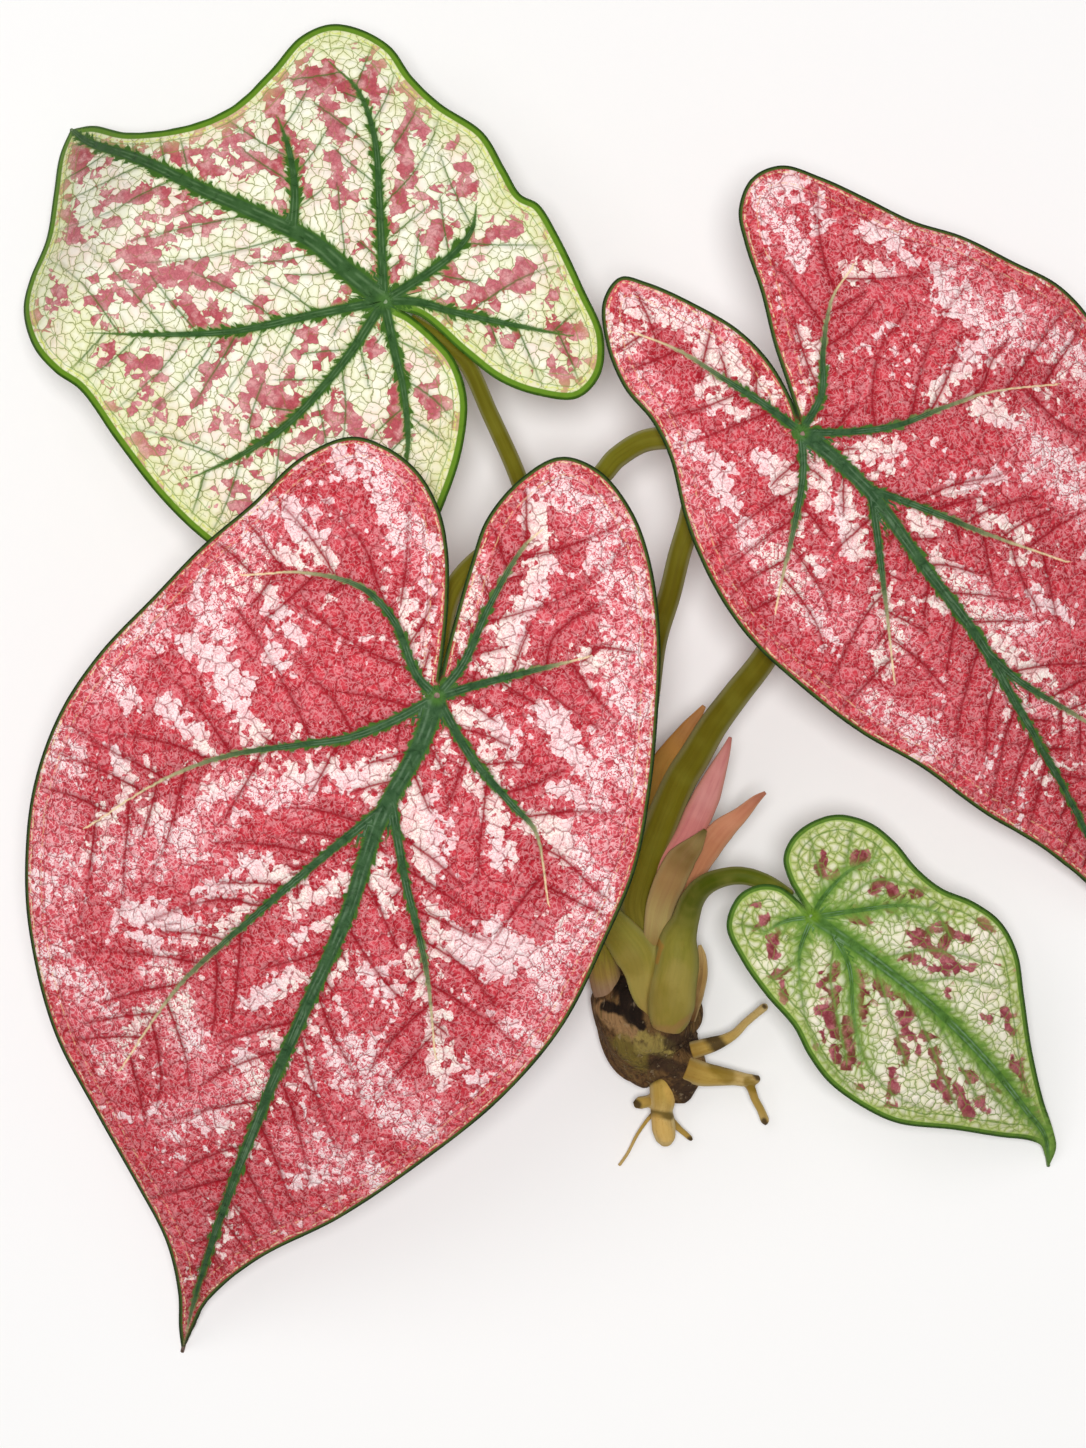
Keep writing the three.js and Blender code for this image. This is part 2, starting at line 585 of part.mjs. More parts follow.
/** A main vein's rib on the underside, thinning from its first to its last point. */
function rib(leaf, line, radii) {
  const route = line.map((point, i) => {
    const radius = THREE.MathUtils.lerp(radii[0], radii[1], i / (line.length - 1));
    return [...bladePoint(leaf, point, RIB_TOP - radius), radius];
  });
  return stem(route, { sides: RIB_SIDES, perSpan: RIB_STEPS });
}

/** A whole blade: sheet, ribs and the end of the stalk that has grown into it. */
function blade(leaf, petiole) {
  const bossFrom = routeCurve(petiole).getLength() - BOSS_LENGTH;
  let body = bladeSheet(leaf).add(rib(leaf, leaf.midrib, MIDRIB_RADII));
  for (const vein of leaf.veins) body = body.add(rib(leaf, vein, VEIN_RADII));
  body = body.add(stem(petiole, { from: bossFrom, perSpan: BOSS_STEPS }));
  return largest(body.subtract(ground()));
}

// ---------- crown, stalks, tuber and roots ----------
// Each of these gives a function that builds the piece, larger all round by `grow`.

const stalk = (route) => (grow) => stem(route, { grow, to: BOSS_LENGTH + GAP });
const flat = (route, depth) => (grow) => stem(route, { grow, depth, perSpan: FLAT_STEPS });

/** A root with the side roots that grow from it. */
function root(main, ...branches) {
  return (grow) => {
    let body = stem(main, { grow });
    for (const branch of branches) body = body.add(stem(branch, { grow, sides: ROOT_SIDES }));
    return body;
  };
}

/** The stalk of leaf d with the sheath's second arm. */
function stalkWithLip(grow) {
  return stalk(PETIOLE_D)(grow).add(flat(LIP_D, LIP_DEPTH)(grow));
}

/** How much wider or narrower the knobbly tuber is than its route says. */
function bulge(angle, share) {
  const first = Math.sin(LUMPS_ROUND[0] * angle + LUMPS_ALONG[0] * share);
  const second = Math.cos(LUMPS_ROUND[1] * angle + LUMPS_ALONG[1] * share);
  return 1 + TUBER_LUMP * first * second;
}

/** The tuber. */
function tuber(grow) {
  return stem(TUBER, { grow, sides: TUBER_SIDES, depth: TUBER_DEPTH, lump: bulge });
}

// From the front of the crown to its back: each piece is cut clear of those before it.
const CROWN = [
  ['petiole_d', FINISH.stalk, stalkWithLip],
  ['cataphyll', FINISH.cataphyll, flat(CATAPHYLL, CATAPHYLL_DEPTH)],
  ['petiole_c', FINISH.stalk, stalk(PETIOLE_C)],
  ['petiole_b', FINISH.stalk, stalk(PETIOLE_B)],
  ['petiole_a', FINISH.stalk, stalk(PETIOLE_A)],
  ['spear_pink', FINISH.pinkSpear, flat(PINK_SPEAR, SPEAR_DEPTH)],
  ['spear_salmon', FINISH.salmonSpear, flat(SALMON_SPEAR, SPEAR_DEPTH)],
  ['sheath_c', FINISH.sheath, flat(SHEATH_C, SHEATH_DEPTH)],
  ['dry_strip', FINISH.sheath, flat(DRY_STRIP, DRY_STRIP_DEPTH)],
  ['stump', FINISH.cataphyll, (grow) => stem(STUMP, { grow })],
  ['root_1', FINISH.root, root(ROOT_1)],
  ['root_2', FINISH.root, root(ROOT_2, ROOT_2_TIP)],
  ['root_3', FINISH.root, root(ROOT_3, ROOT_3_STUB, ROOT_3_BRANCH, ROOT_3_HAIR)],
  ['tuber', FINISH.tuber, tuber],
];

const plant = new THREE.Group();

const cleared = [];
for (const [name, finish, build] of CROWN) {
  let body = build(0);
  for (const other of cleared) body = body.subtract(other);
  cleared.push(build(GAP));
  plant.add(piece(name, largest(body.subtract(ground())), finish));
}

plant.add(piece('blade_a', blade(LEAF_A, PETIOLE_A), FINISH.creamBlade));
plant.add(piece('blade_b', blade(LEAF_B, PETIOLE_B), FINISH.redBlade));
plant.add(piece('blade_c', blade(LEAF_C, PETIOLE_C), FINISH.redBlade));
plant.add(piece('blade_d', blade(LEAF_D, PETIOLE_D), FINISH.greenBlade));

export default plant;
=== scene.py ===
import math

import bpy
import numpy as np
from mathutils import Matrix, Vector
from mathutils.kdtree import KDTree


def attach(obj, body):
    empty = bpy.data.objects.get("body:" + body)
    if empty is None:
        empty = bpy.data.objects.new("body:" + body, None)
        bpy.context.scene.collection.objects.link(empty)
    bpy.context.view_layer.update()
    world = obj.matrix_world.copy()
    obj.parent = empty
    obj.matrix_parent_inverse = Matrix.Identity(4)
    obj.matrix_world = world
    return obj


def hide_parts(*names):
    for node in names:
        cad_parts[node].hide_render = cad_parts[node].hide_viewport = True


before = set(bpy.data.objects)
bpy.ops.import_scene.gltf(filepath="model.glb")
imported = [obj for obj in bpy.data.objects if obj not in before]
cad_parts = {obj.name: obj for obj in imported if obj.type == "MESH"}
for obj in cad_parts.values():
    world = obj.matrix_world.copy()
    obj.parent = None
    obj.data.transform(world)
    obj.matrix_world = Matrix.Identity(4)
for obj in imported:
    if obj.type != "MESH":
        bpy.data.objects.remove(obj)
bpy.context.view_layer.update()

# A bare-rooted caladium lying on a pale floor. Sizes are in millimetres until MM turns them into
# Blender's metres. Leaves, stalks and roots repeat the routes of the part's source, drawn finer.

MM = 0.001
LOWEST = 0.05  # nothing of the plant lies lower than this above the floor's level
ROWS_AT_ONCE = 4000  # of a table of distances, so that it fits in memory
ROUTE_SAMPLES = 2001
FRAMES_PER_POINT = 40  # of a route, where points look for the nearest place on it
SHARE_STEP = 0.001  # to each side of a place on a route, to find its direction

# ---------- the camera, the lamps and the floor ----------

CAMERA_AT = (-24.77, 71.98, 1000)
CAMERA_LENS = 106
CAMERA_SENSOR = 36
PHOTO_SIZE = (1086, 1448)  # pixels
FLOOR_SIZE = 6000
PLANT_MIDDLE = (-0.02, 0.08, 0.03)  # metres, as are the places and sizes of the lamps
WORLD_LIGHT = 0.26
LAMPS = {  # place, diameter, watts
    "key": ((-0.025, 0.075, 1.5), 0.3, 15.9),
    "fill": ((-0.5, 0.5, 1.3), 0.9, 3.5),
}

# ---------- marks on the plant, in the photo's pixels ----------

WAVER = 5  # how far the outlines of marks are moved to and fro
WAVER_LENGTH = 13
FINE_WAVER = 2.5
FINE_WAVER_TIMES = 2.3  # how many times shorter than the other
MARK_SWELL = 0.15  # added to the depth inside a blotch, as a share of its softness

# ---------- the blades' plan: counts of the part's source, which their slits and lobes follow ----

SPOKES = 26
FAN_SPOKES = 10  # in the basal lobe
BENT_SPOKES = 5  # still following the curve of the slit
RINGS = 6
SLIT_RING = 1  # where the slit ends

# ---------- the blades' heights, stalks and ribs ----------

WAVE_SHIFT = 6  # half the width in which the waves of one half turn into those of the other
VALLEY_DEPTH = 0.8
VALLEY_WIDTH = 5
RIB_TOP = 0.3  # a rib's upper side above the middle of the blade, in the part's source
RIB_SUNK = 0.85  # how much lower it lies here, so that it stays below the finer blade
RIB_SIDES = 12
RIB_STEPS = 5  # for each point of a vein
MIDRIB_RADII = (1.7, 0.45)
VEIN_RADII = (1.1, 0.4)
BOSS_LENGTH = 7  # stretch of leaf stalk that has grown into the blade
BOSS_SIDES = 20
BOSS_STEPS = 12
JOINT_GAP = 0.06  # between that stretch and the rest of the stalk
BLADE_THICKNESS = 0.5
QUILT_DEPTH = 0.35
QUILT_WIDTH = 1.5
QUILT_CLEAR = 3  # the quilting starts this far from a main vein
CRUMPLE_DEPTH = 0.35
CRUMPLE_LENGTH = 11
GROOVE_DEPTH = 0.3
GROOVE_SHOULDER = 0.4
RIM_DROP = 0.35
RIM_WIDTH = 0.8

# ---------- veins ----------

VEIN_SAMPLES = 160
MARGIN_SAMPLES = 700
VEIN_TAPER = 0.7
THIN_VEIN = 0.2  # half the width that a main vein's thin end is drawn with
UNDERSIDE = 0.45  # share of the underside's own tone
VEIN_REACH = 0.8  # a sign change farther than this from a main vein draws no line
SIDE_VEIN_REACH = 0.8  # the same for a side vein
SIDE_VEIN_STEP = 0.5  # how far a side vein grows at a time
SIDE_VEIN_STEPS = 150
SIDE_VEIN_FIRST = {-1: 0.5, 1: 1.0}  # in spacings, on each side of a main vein
SIDE_VEIN_JITTER = 0.2  # share of the spacing
SIDE_VEIN_LAST = 0.97  # share of the main vein's length
SIDE_VEIN_ANGLE = 54  # degrees off the main vein
SIDE_VEIN_SPREAD = 5  # degrees
SIDE_VEIN_BEND = 0.45  # degrees forward for each step
SIDE_VEIN_WANDER = 0.6  # degrees
WANDER_KEPT = 0.75
STEPS_BY_PARENT = 3  # before another main vein may be nearer than the one it left
STEPS_TOGETHER = 6  # before it stops near another side vein
CLEAR_OF_VEIN = 3.5  # a side vein stops this far from another
CLEAR_OF_THREAD = 3.5  # and this far from one that is listed
MARGIN_VEIN = 3  # and this far from the margin
THREAD_SAMPLES = 200
SETTLING_ROUNDS = 30
SETTLING_STEP = 0.15  # millimetres for each pixel that a point is off

# Streaks and teeth along the main veins: share, length and width.
STREAKS = ((0.6, 5.5, 15), (0.4, 2.6, 7))
SLANT = 0.75  # how far they lean towards the vein's tip
VEIN_SHIFT = 37  # moves the streaks of one main vein from those of the next
HALF_SHIFT = 500  # and those of one side of a vein from the other's
UNDER_VEIN = {  # what the blade's material reads on a rib or the stalk's end
    "vein": 0, "vein_near": 0, "vein_half": 2, "side_vein": 9, "side_near": 9, "edge": 20,
    "pale": -1, "tint": 0, "under": 1,
}

# ---------- stems and tuber ----------

SHEATH_VOXEL = 0.4
SHEATH_SMOOTHING = 14
ROOT_SIDES = 20
ROOT_STEPS = 8
ROOT_VOXEL = 0.3
ROOT_SMOOTHING = 3
TUBER_SIDES = 96
TUBER_STEPS = 14
KNOB = 0.05  # share of the tuber's radius
KNOB_RING = (3, 2)  # half axes of the ring in the noise that gives the knobs round the tuber
KNOB_START = 9  # where that ring's middle lies in the noise
KNOBS_ALONG = 9  # how far it moves from one end of the tuber to the other
KNOB_SEED = 5
BUMP_HEIGHT = 0.3 * MM
TUBER_BUMP_HEIGHT = 1.2 * MM

# ---------- leaves: [along, across] in a blade's own frame, from its hub towards its tip ----------

LEAF_A = {
    "name": "blade_a",
    "hub": (-59.8, 165.2, 60),
    "heading": 148.6,
    "length": 88.5,
    "droop": 22,
    "bend": 2,
    "curl": (58, 38, 1.5),
    "lobe": (60, 2),
    "side": (70, 14, 6),
    "wave": (1.6, 48),
    "left": {
        "lobe_at": 7,
        "fan_to": 14,
        "margin": [
            (-3.5, 0), (-6.5, -0.2), (-14, 1), (-20, 3), (-26.5, 8.5), (-31, 17), (-34, 28),
            (-35, 40), (-30.5, 52), (-21, 61.5), (-7.5, 66), (7, 65.5), (20.5, 62.5), (35, 57),
            (48, 51.5), (55, 51), (63, 48.5), (70.5, 42.5), (73.5, 36), (75.5, 26), (81, 16),
            (86.5, 7), (88.5, 0),
        ],
    },
    "right": {
        "lobe_at": 6,
        "fan_to": 15,
        "margin": [
            (-3.5, 0), (-9, -1.2), (-21, 0.8), (-31, 1.8), (-40, 0), (-47.5, -4), (-49, -11),
            (-45, -19), (-36, -25.5), (-24.5, -33), (-17.5, -36.5), (-13, -36.3), (-7, -39.5),
            (1.5, -44), (13, -44.5), (21.5, -46.5), (29.5, -50), (38, -50), (44, -47.5),
            (48, -41.5), (49.5, -31), (52.5, -19.5), (60, -10), (71, -4), (82, -2.5), (88.5, 0),
        ],
    },
    "midrib": [
        (0, 0), (11, -1.5), (20, -3), (35, -2), (48, -0.5), (65, 0.5), (80, 1.5), (88.5, 0),
    ],
    "veins": [
        [(0, 0), (5.5, -8), (13, -19), (21, -30), (30, -37.5), (39, -40)],
        [(25.5, -3), (30, -11), (36, -18), (42, -23)],
        [(0, 0), (-5, -10.5), (-7.5, -17.5), (-8, -24), (-6, -29)],
        [(0, 0), (-6, -3.5), (-14.5, -6), (-28.5, -11), (-39, -15)],
        [(0, 0), (-8.5, 9), (-13.5, 14), (-20.5, 23.5), (-24.5, 31.5)],
        [(0, 0), (0.5, 15.5), (4, 34), (9.5, 45.5), (16.5, 55.5)],
        [(0, 0), (11.5, 10.5), (24.5, 22.5), (39, 32), (53.5, 40)],
    ],
    "midrib_width": (2.5, 0.5),
    "vein_width": (1.3, 0.3),
}

LEAF_B = {
    "name": "blade_b",
    "hub": (-47.3, 77.7, 95),
    "heading": -112.1,
    "length": 165,
    "droop": 95,
    "bend": 1.95,
    "lobe": (56, 8),
    "side": (70, 16, 0),
    "wave": (1.6, 70),
    "left": {
        "lobe_at": 6,
        "fan_to": 12,
        "margin": [
            (-3.5, -0.8), (-10, -1.8), (-16, -2.6), (-29, -4), (-39, -4.5), (-50, -1),
            (-57.5, 5), (-58, 13.5), (-52.5, 23.5), (-43.5, 31.5), (-29, 39.5), (-14, 45),
            (1, 49.5), (18, 53), (35, 53), (56, 51.5), (76.5, 45), (97.5, 34), (116, 22.5),
            (134, 8.5), (149, 1.5), (158.5, 0.5), (165, 0),
        ],
    },
    "right": {
        "lobe_at": 6,
        "fan_to": 13,
        "margin": [
            (-3.5, -0.8), (-12, -3), (-20, -5.5), (-29.5, -9.5), (-37, -14.5), (-43, -22),
            (-45.5, -31), (-44.5, -38.5), (-36.5, -46.5), (-23.5, -52.5), (-11.5, -59),
            (3, -65), (19, -71.5), (34.5, -75), (51.5, -75), (66.5, -71.5), (81.5, -65),
            (101.5, -51.5), (115.5, -36.5), (128, -22.5), (138.5, -12), (150, -5.5),
            (159, -2.5), (165, 0),
        ],
    },
    "midrib": [
        (0, 0), (10, 0.5), (29, -1.5), (51, -0.5), (73, -1.5), (102, -2.5), (128.5, -2.5),
        (150, -1.5), (165, 0),
    ],
    "veins": [
        [(0, 0), (8.5, -7), (15, -14), (20, -22.5), (28.5, -37), (39, -48.5), (55, -60.5)],
        [(0, 0), (-2.5, -5.5), (-11.5, -14.5), (-15.5, -23.5), (-14, -36), (-8.5, -48.5)],
        [(0, 0), (-8.5, 2.5), (-22, 3), (-36.5, 5), (-41, 7)],
        [(0, 0), (-6, 7.5), (-14.5, 19), (-20, 26.5)],
        [(0, 0), (9, 11.5), (15.5, 24), (18.5, 30), (32, 38.5)],
        [(26, -1.5), (36.5, -7.5), (56.5, -18), (79.5, -29), (103, -35)],
        [(23.5, -1), (37.5, 7.5), (55, 19.5), (72.5, 28.5)],
    ],
    "midrib_width": (2.2, 0.25),
    "vein_width": (1.15, 0.18),
}

LEAF_C = {
    "name": "blade_c",
    "hub": (31.2, 135.3, 75),
    "heading": -53.7,
    "length": 140,
    "droop": 75,
    "bend": 1.8,
    "lobe": (55, 4),
    "side": (50, 10, 0),
    "wave": (1.6, 60),
    "left": {
        "lobe_at": 6,
        "fan_to": 14,
        "margin": [
            (-2.5, 1.2), (-10, 3.7), (-19, 6.6), (-29.5, 11), (-40, 14.5), (-47, 18),
            (-51, 24.5), (-49.5, 31.5), (-42.5, 37), (-33, 42.5), (-23, 48), (-14, 55),
            (-2.5, 61), (7, 66), (16.5, 68), (28, 68), (44, 63.5), (62.5, 55), (82, 44.5),
            (101, 32.5), (118, 20), (130.5, 9.5), (140, 0),
        ],
    },
    "right": {
        "lobe_at": 6,
        "fan_to": 13,
        "margin": [
            (-2.5, 1.2), (-8, 2.7), (-17, 3.5), (-26.5, 2), (-36, -2), (-46, -7.5),
            (-50.5, -11.5), (-48.5, -17.5), (-40.5, -22.5), (-30.5, -25), (-21, -24.5),
            (-12.5, -26), (-1.5, -30.5), (6.5, -33), (18, -35), (30, -35), (44.5, -32),
            (61, -27), (75, -20.5), (92.5, -14.5), (107, -8), (121, -3.5), (132, -1), (140, 0),
        ],
    },
    "midrib": [
        (0, 0), (8.5, 2.5), (19.5, 4.5), (40.5, 5), (59.5, 6), (77.5, 5), (103.5, 3.5),
        (123, 1.5), (140, 0),
    ],
    "veins": [
        [(0, 0), (-10, -3), (-19, -6.5), (-30.5, -11), (-39.5, -16.5)],
        [(0, 0), (-4, 8.5), (-11.5, 14.5), (-19.5, 23), (-22.5, 31)],
        [(0, 0), (5.5, 7.5), (11, 17.5), (14, 28.5), (17, 38.5), (24.5, 53)],
        [(17.5, 4), (27.5, 11), (42.5, 21), (57.5, 32)],
        [(0, 0), (7, -4.5), (15.5, -13), (22, -20.5), (28, -27)],
        [(20, 4.5), (31.5, -1.5), (41, -6.5), (56, -14.5)],
        [(63.5, 6), (73, 8.5), (87, 15), (99, 20)],
    ],
    "midrib_width": (1.8, 0.25),
    "vein_width": (1.0, 0.18),
}

LEAF_D = {
    "name": "blade_d",
    "hub": (35.4, 28.8, 46),
    "heading": -46,
    "length": 84,
    "droop": 45,
    "bend": 1.8,
    "lobe": (25, -5),
    "side": (40, 6, 0),
    "wave": (1, 40),
    "left": {
        "lobe_at": 4,
        "fan_to": 8,
        "margin": [
            (-1.5, 0.1), (-5.5, 1), (-9.5, 2), (-14, 4.5), (-16, 9), (-15.5, 14.5), (-12.5, 20),
            (-6, 24), (1, 25), (8.5, 24.5), (16, 25.5), (23, 28.5), (31, 30), (39, 28),
            (47.5, 22.5), (58.5, 15.5), (70, 9.5), (77.5, 6.5), (81.5, 4.2), (84, 0),
        ],
    },
    "right": {
        "lobe_at": 4,
        "fan_to": 8,
        "margin": [
            (-1.5, 0.1), (-5, 0.3), (-10, -0.5), (-13.5, -3.5), (-15, -8.5), (-12, -15),
            (-4, -18), (5.5, -19.5), (15, -20), (22, -22), (30.5, -23), (41.5, -21), (49, -18),
            (59.5, -10), (69, -3.5), (75, 0.8), (78.5, 2), (81.5, 1), (84, 0),
        ],
    },
    "midrib": [(0, 0), (9.5, 2), (21, 4), (39, 6), (56, 6), (69, 5), (77, 4.2), (84, 0)],
    "veins": [
        [(0, 0), (-1.5, 5.5), (-1.5, 13.5), (1.5, 20)],
        [(0, 0), (-3.5, -5), (-5, -11)],
        [(0, 0), (6.5, 9), (13, 17), (21.5, 22.5)],
        [(0, 0), (3.5, -7), (9, -12.5)],
        [(5, 1), (13.5, -1.5), (22, -8), (31.5, -14.5)],
    ],
    "midrib_width": (1.9, 0.5),
    "vein_width": (1.0, 0.3),
}

# ---------- leaf stalks, crown, tuber and roots: (x, y, z, half width) ----------

PETIOLE_A = [
    (-10, 11, 9, 2.8), (-10.5, 20, 8.5, 2.9), (-10.5, 29, 9, 2.8), (-11, 47.5, 12.5, 2.6),
    (-13.5, 68.5, 19, 2.4), (-18.5, 91, 27, 2.2), (-24.5, 109, 34, 2.1), (-30, 126.5, 42, 2),
    (-36.5, 141, 48, 1.9), (-42.5, 153, 53, 1.9), (-51, 159.5, 55.5, 1.8), (-59.8, 165.2, 60, 0.6),
]
PETIOLE_B = [
    (-5, 13, 12.5, 3), (-5, 22, 13, 3.1), (-4.5, 30.5, 14.5, 3.1), (-4, 42, 19, 3),
    (-3.5, 54.5, 26, 2.9), (-1, 79.5, 39, 2.7), (0.5, 91, 45.5, 2.6), (3.5, 101, 50, 2.5),
    (5.5, 109.5, 53, 2.5), (8, 118.5, 56, 2.5), (9, 127.5, 59, 2.5), (6.5, 134, 60.5, 2.5),
    (-1.5, 134.5, 62, 2.5), (-8.5, 130.5, 64.5, 2.4), (-12.5, 126, 67, 2.3), (-27.5, 116, 75, 2.2),
    (-43.5, 102, 82, 2.2), (-47, 86.5, 87, 2.1), (-47.3, 77.7, 95, 0.6),
]
PETIOLE_C = [
    (-0.5, 18, 18, 3.3), (-2.5, 25, 20.5, 3.7), (-3.5, 31, 22, 3.9), (-1.5, 39, 25, 4),
    (1.5, 47.5, 28, 4), (6.5, 59.5, 32, 3.8), (9.5, 64.5, 35, 3.6), (13.5, 71.5, 39, 3.3),
    (18.5, 78.5, 43.5, 3.1), (24.5, 86.5, 49, 2.9), (33, 101.5, 57, 2.7), (38, 117, 63, 2.6),
    (37, 128.5, 67, 2.5), (31.2, 135.3, 75, 0.6),
]
PETIOLE_D = [
    (3.5, 2, 24.3, 3.4), (4, 4.5, 24.8, 4.8), (4.5, 8, 25, 5.6), (5, 13, 25.5, 5.5),
    (5.8, 17.5, 26.5, 5.2), (6, 22.5, 27.5, 4.5), (7.5, 27, 30, 3.2), (9, 32, 34, 2.8),
    (11.5, 35.5, 39, 2.5), (15.5, 37.5, 43, 2.2), (20, 38, 45, 2.05), (25, 36.5, 44.8, 2),
    (30.5, 33, 42.5, 1.9), (35.4, 28.8, 46, 0.6),
]
LIP_D = [
    (0, 6, 23, 2.3), (-2, 11, 24.5, 3), (-2.5, 15.5, 25.5, 4), (-3.5, 19, 26, 5),
    (-5.5, 22, 26, 4.7), (-8, 25, 25, 4.2), (-11, 28.5, 23.5, 3.5), (-13, 31.5, 22, 2.2),
]
LIP_DEPTH = 0.4
CATAPHYLL = [
    (0.5, 20, 25, 2.4), (1, 25, 27, 2.8), (2, 30.5, 28.5, 3.3), (4, 36, 30.5, 3.6),
    (6.5, 41, 32.3, 3.4), (9.5, 44.5, 33.8, 2.2), (12, 48, 35, 0.5),
]
CATAPHYLL_DEPTH = 0.4
PINK_SPEAR = [
    (2.5, 30, 25.5, 2), (3, 35.5, 27, 2.4), (4.5, 40.5, 28.5, 2.8), (8, 46, 30, 3.1),
    (10.5, 51.5, 31.7, 3.3), (12.5, 56, 33.3, 3.1), (14.5, 61, 35, 2.2), (16.5, 66, 37, 1.1),
    (17.5, 69, 38, 0.4),
]
SALMON_SPEAR = [
    (7, 26, 23.5, 2), (7.5, 32, 25.5, 2.2), (9.5, 38, 28, 2.7), (12.5, 43.5, 30.5, 3.1),
    (16, 48, 33, 2.8), (20, 51.5, 35, 1.8), (23.5, 55, 36, 1), (25.5, 56.5, 36.5, 0.4),
]
SPEAR_DEPTH = 0.6
SHEATH_C = [
    (-4, 41, 24, 2), (-2, 49, 27, 2.5), (1, 57, 29.5, 2.9), (2.5, 62.5, 31.5, 3),
    (5.5, 67, 33.5, 2.6), (8.5, 71.5, 36.2, 1.8), (11.5, 76, 39.3, 0.5),
]
SHEATH_DEPTH = 0.5
DRY_STRIP = [
    (9, 4, 22, 1.2), (10.5, 10, 24.5, 1.5), (11.5, 15, 25.5, 1.4), (11.5, 19, 26, 1),
    (11, 21.5, 26.5, 0.4),
]
DRY_STRIP_DEPTH = 0.5
STUMP = [(-8.5, 6.5, 14, 3.4), (-10, 12, 17, 3.8), (-11, 17, 18.5, 3.6), (-11.5, 22, 19.5, 2.6)]
TUBER = [
    (7, -16, 10.5, 1.2), (7, -14.5, 10.5, 3), (6.5, -12, 10.3, 5.3), (6, -9, 10, 7.4),
    (3.4, -5.5, 9.5, 9.4), (0.6, -1.3, 9.4, 10.7), (-0.4, 4, 11.8, 12.1), (-1, 8.5, 13, 12.8),
    (-0.8, 12.5, 13.8, 10.8), (0, 16.5, 15, 6),
]
TUBER_DEPTH = 0.92
TUBER_LUMP = 0.05  # share of the radius
LUMPS_ROUND = (3, 5)  # two sets of lumps, counted once round the tuber
LUMPS_ALONG = (9, 4)  # how far each set winds round, in radians, from end to end
ROOT_1 = [
    (9.5, -3.5, 14.5, 2.1), (14.5, -2, 15, 1.8), (17, -1, 15.8, 1.4), (19.5, 0.5, 16, 1.1),
    (22, 3, 15.5, 0.95), (24.5, 5, 14.3, 0.95), (26.5, 6.5, 13, 1), (27, 7, 12.7, 0.5),
]
ROOT_2 = [
    (8, -7.5, 13.5, 3.2), (12, -9, 13, 2.9), (15.5, -9.5, 12.6, 2.4), (19.5, -10, 12, 1.8),
    (22, -10.5, 11.2, 1.6), (24.5, -10.5, 10.5, 1.2), (25.5, -10, 10.2, 0.6),
]
ROOT_2_TIP = [
    (22.5, -10.8, 10.8, 1.3), (23.5, -12.5, 10.4, 1.05), (24.5, -15.2, 9, 0.95), (26, -18, 7, 0.95),
    (27, -20.5, 5.3, 1.05), (27.2, -21.4, 4.7, 0.5),
]
ROOT_3 = [
    (2.5, -6, 12, 2.6), (2.5, -9, 12.2, 2.8), (3, -13, 11.7, 3.1), (3, -16, 11, 2.8),
    (2.7, -18, 10.7, 2.5), (3, -19.5, 10.4, 2.7), (3.3, -22, 9.9, 2.8), (3.7, -24.5, 9.4, 2.3),
    (3.9, -26, 9.1, 1),
]
ROOT_3_STUB = [
    (2, -14.5, 11, 1.6), (-0.2, -15.5, 10.6, 1.4), (-2.3, -16, 10.2, 1.5), (-3.6, -16.5, 9.9, 0.8),
]
ROOT_3_BRANCH = [
    (4.2, -19.5, 9.2, 1.2), (5.2, -20.5, 8.3, 1), (7, -22.3, 7, 0.75), (9.5, -24.6, 5.5, 0.65),
    (10, -25.2, 5.2, 0.35),
]
ROOT_3_HAIR = [
    (1.6, -18, 8.5, 0.7), (-0.2, -20, 6.5, 0.5), (-2.8, -24, 4.2, 0.45), (-5, -28.5, 2.4, 0.42),
    (-7, -31.5, 1.3, 0.42),
]
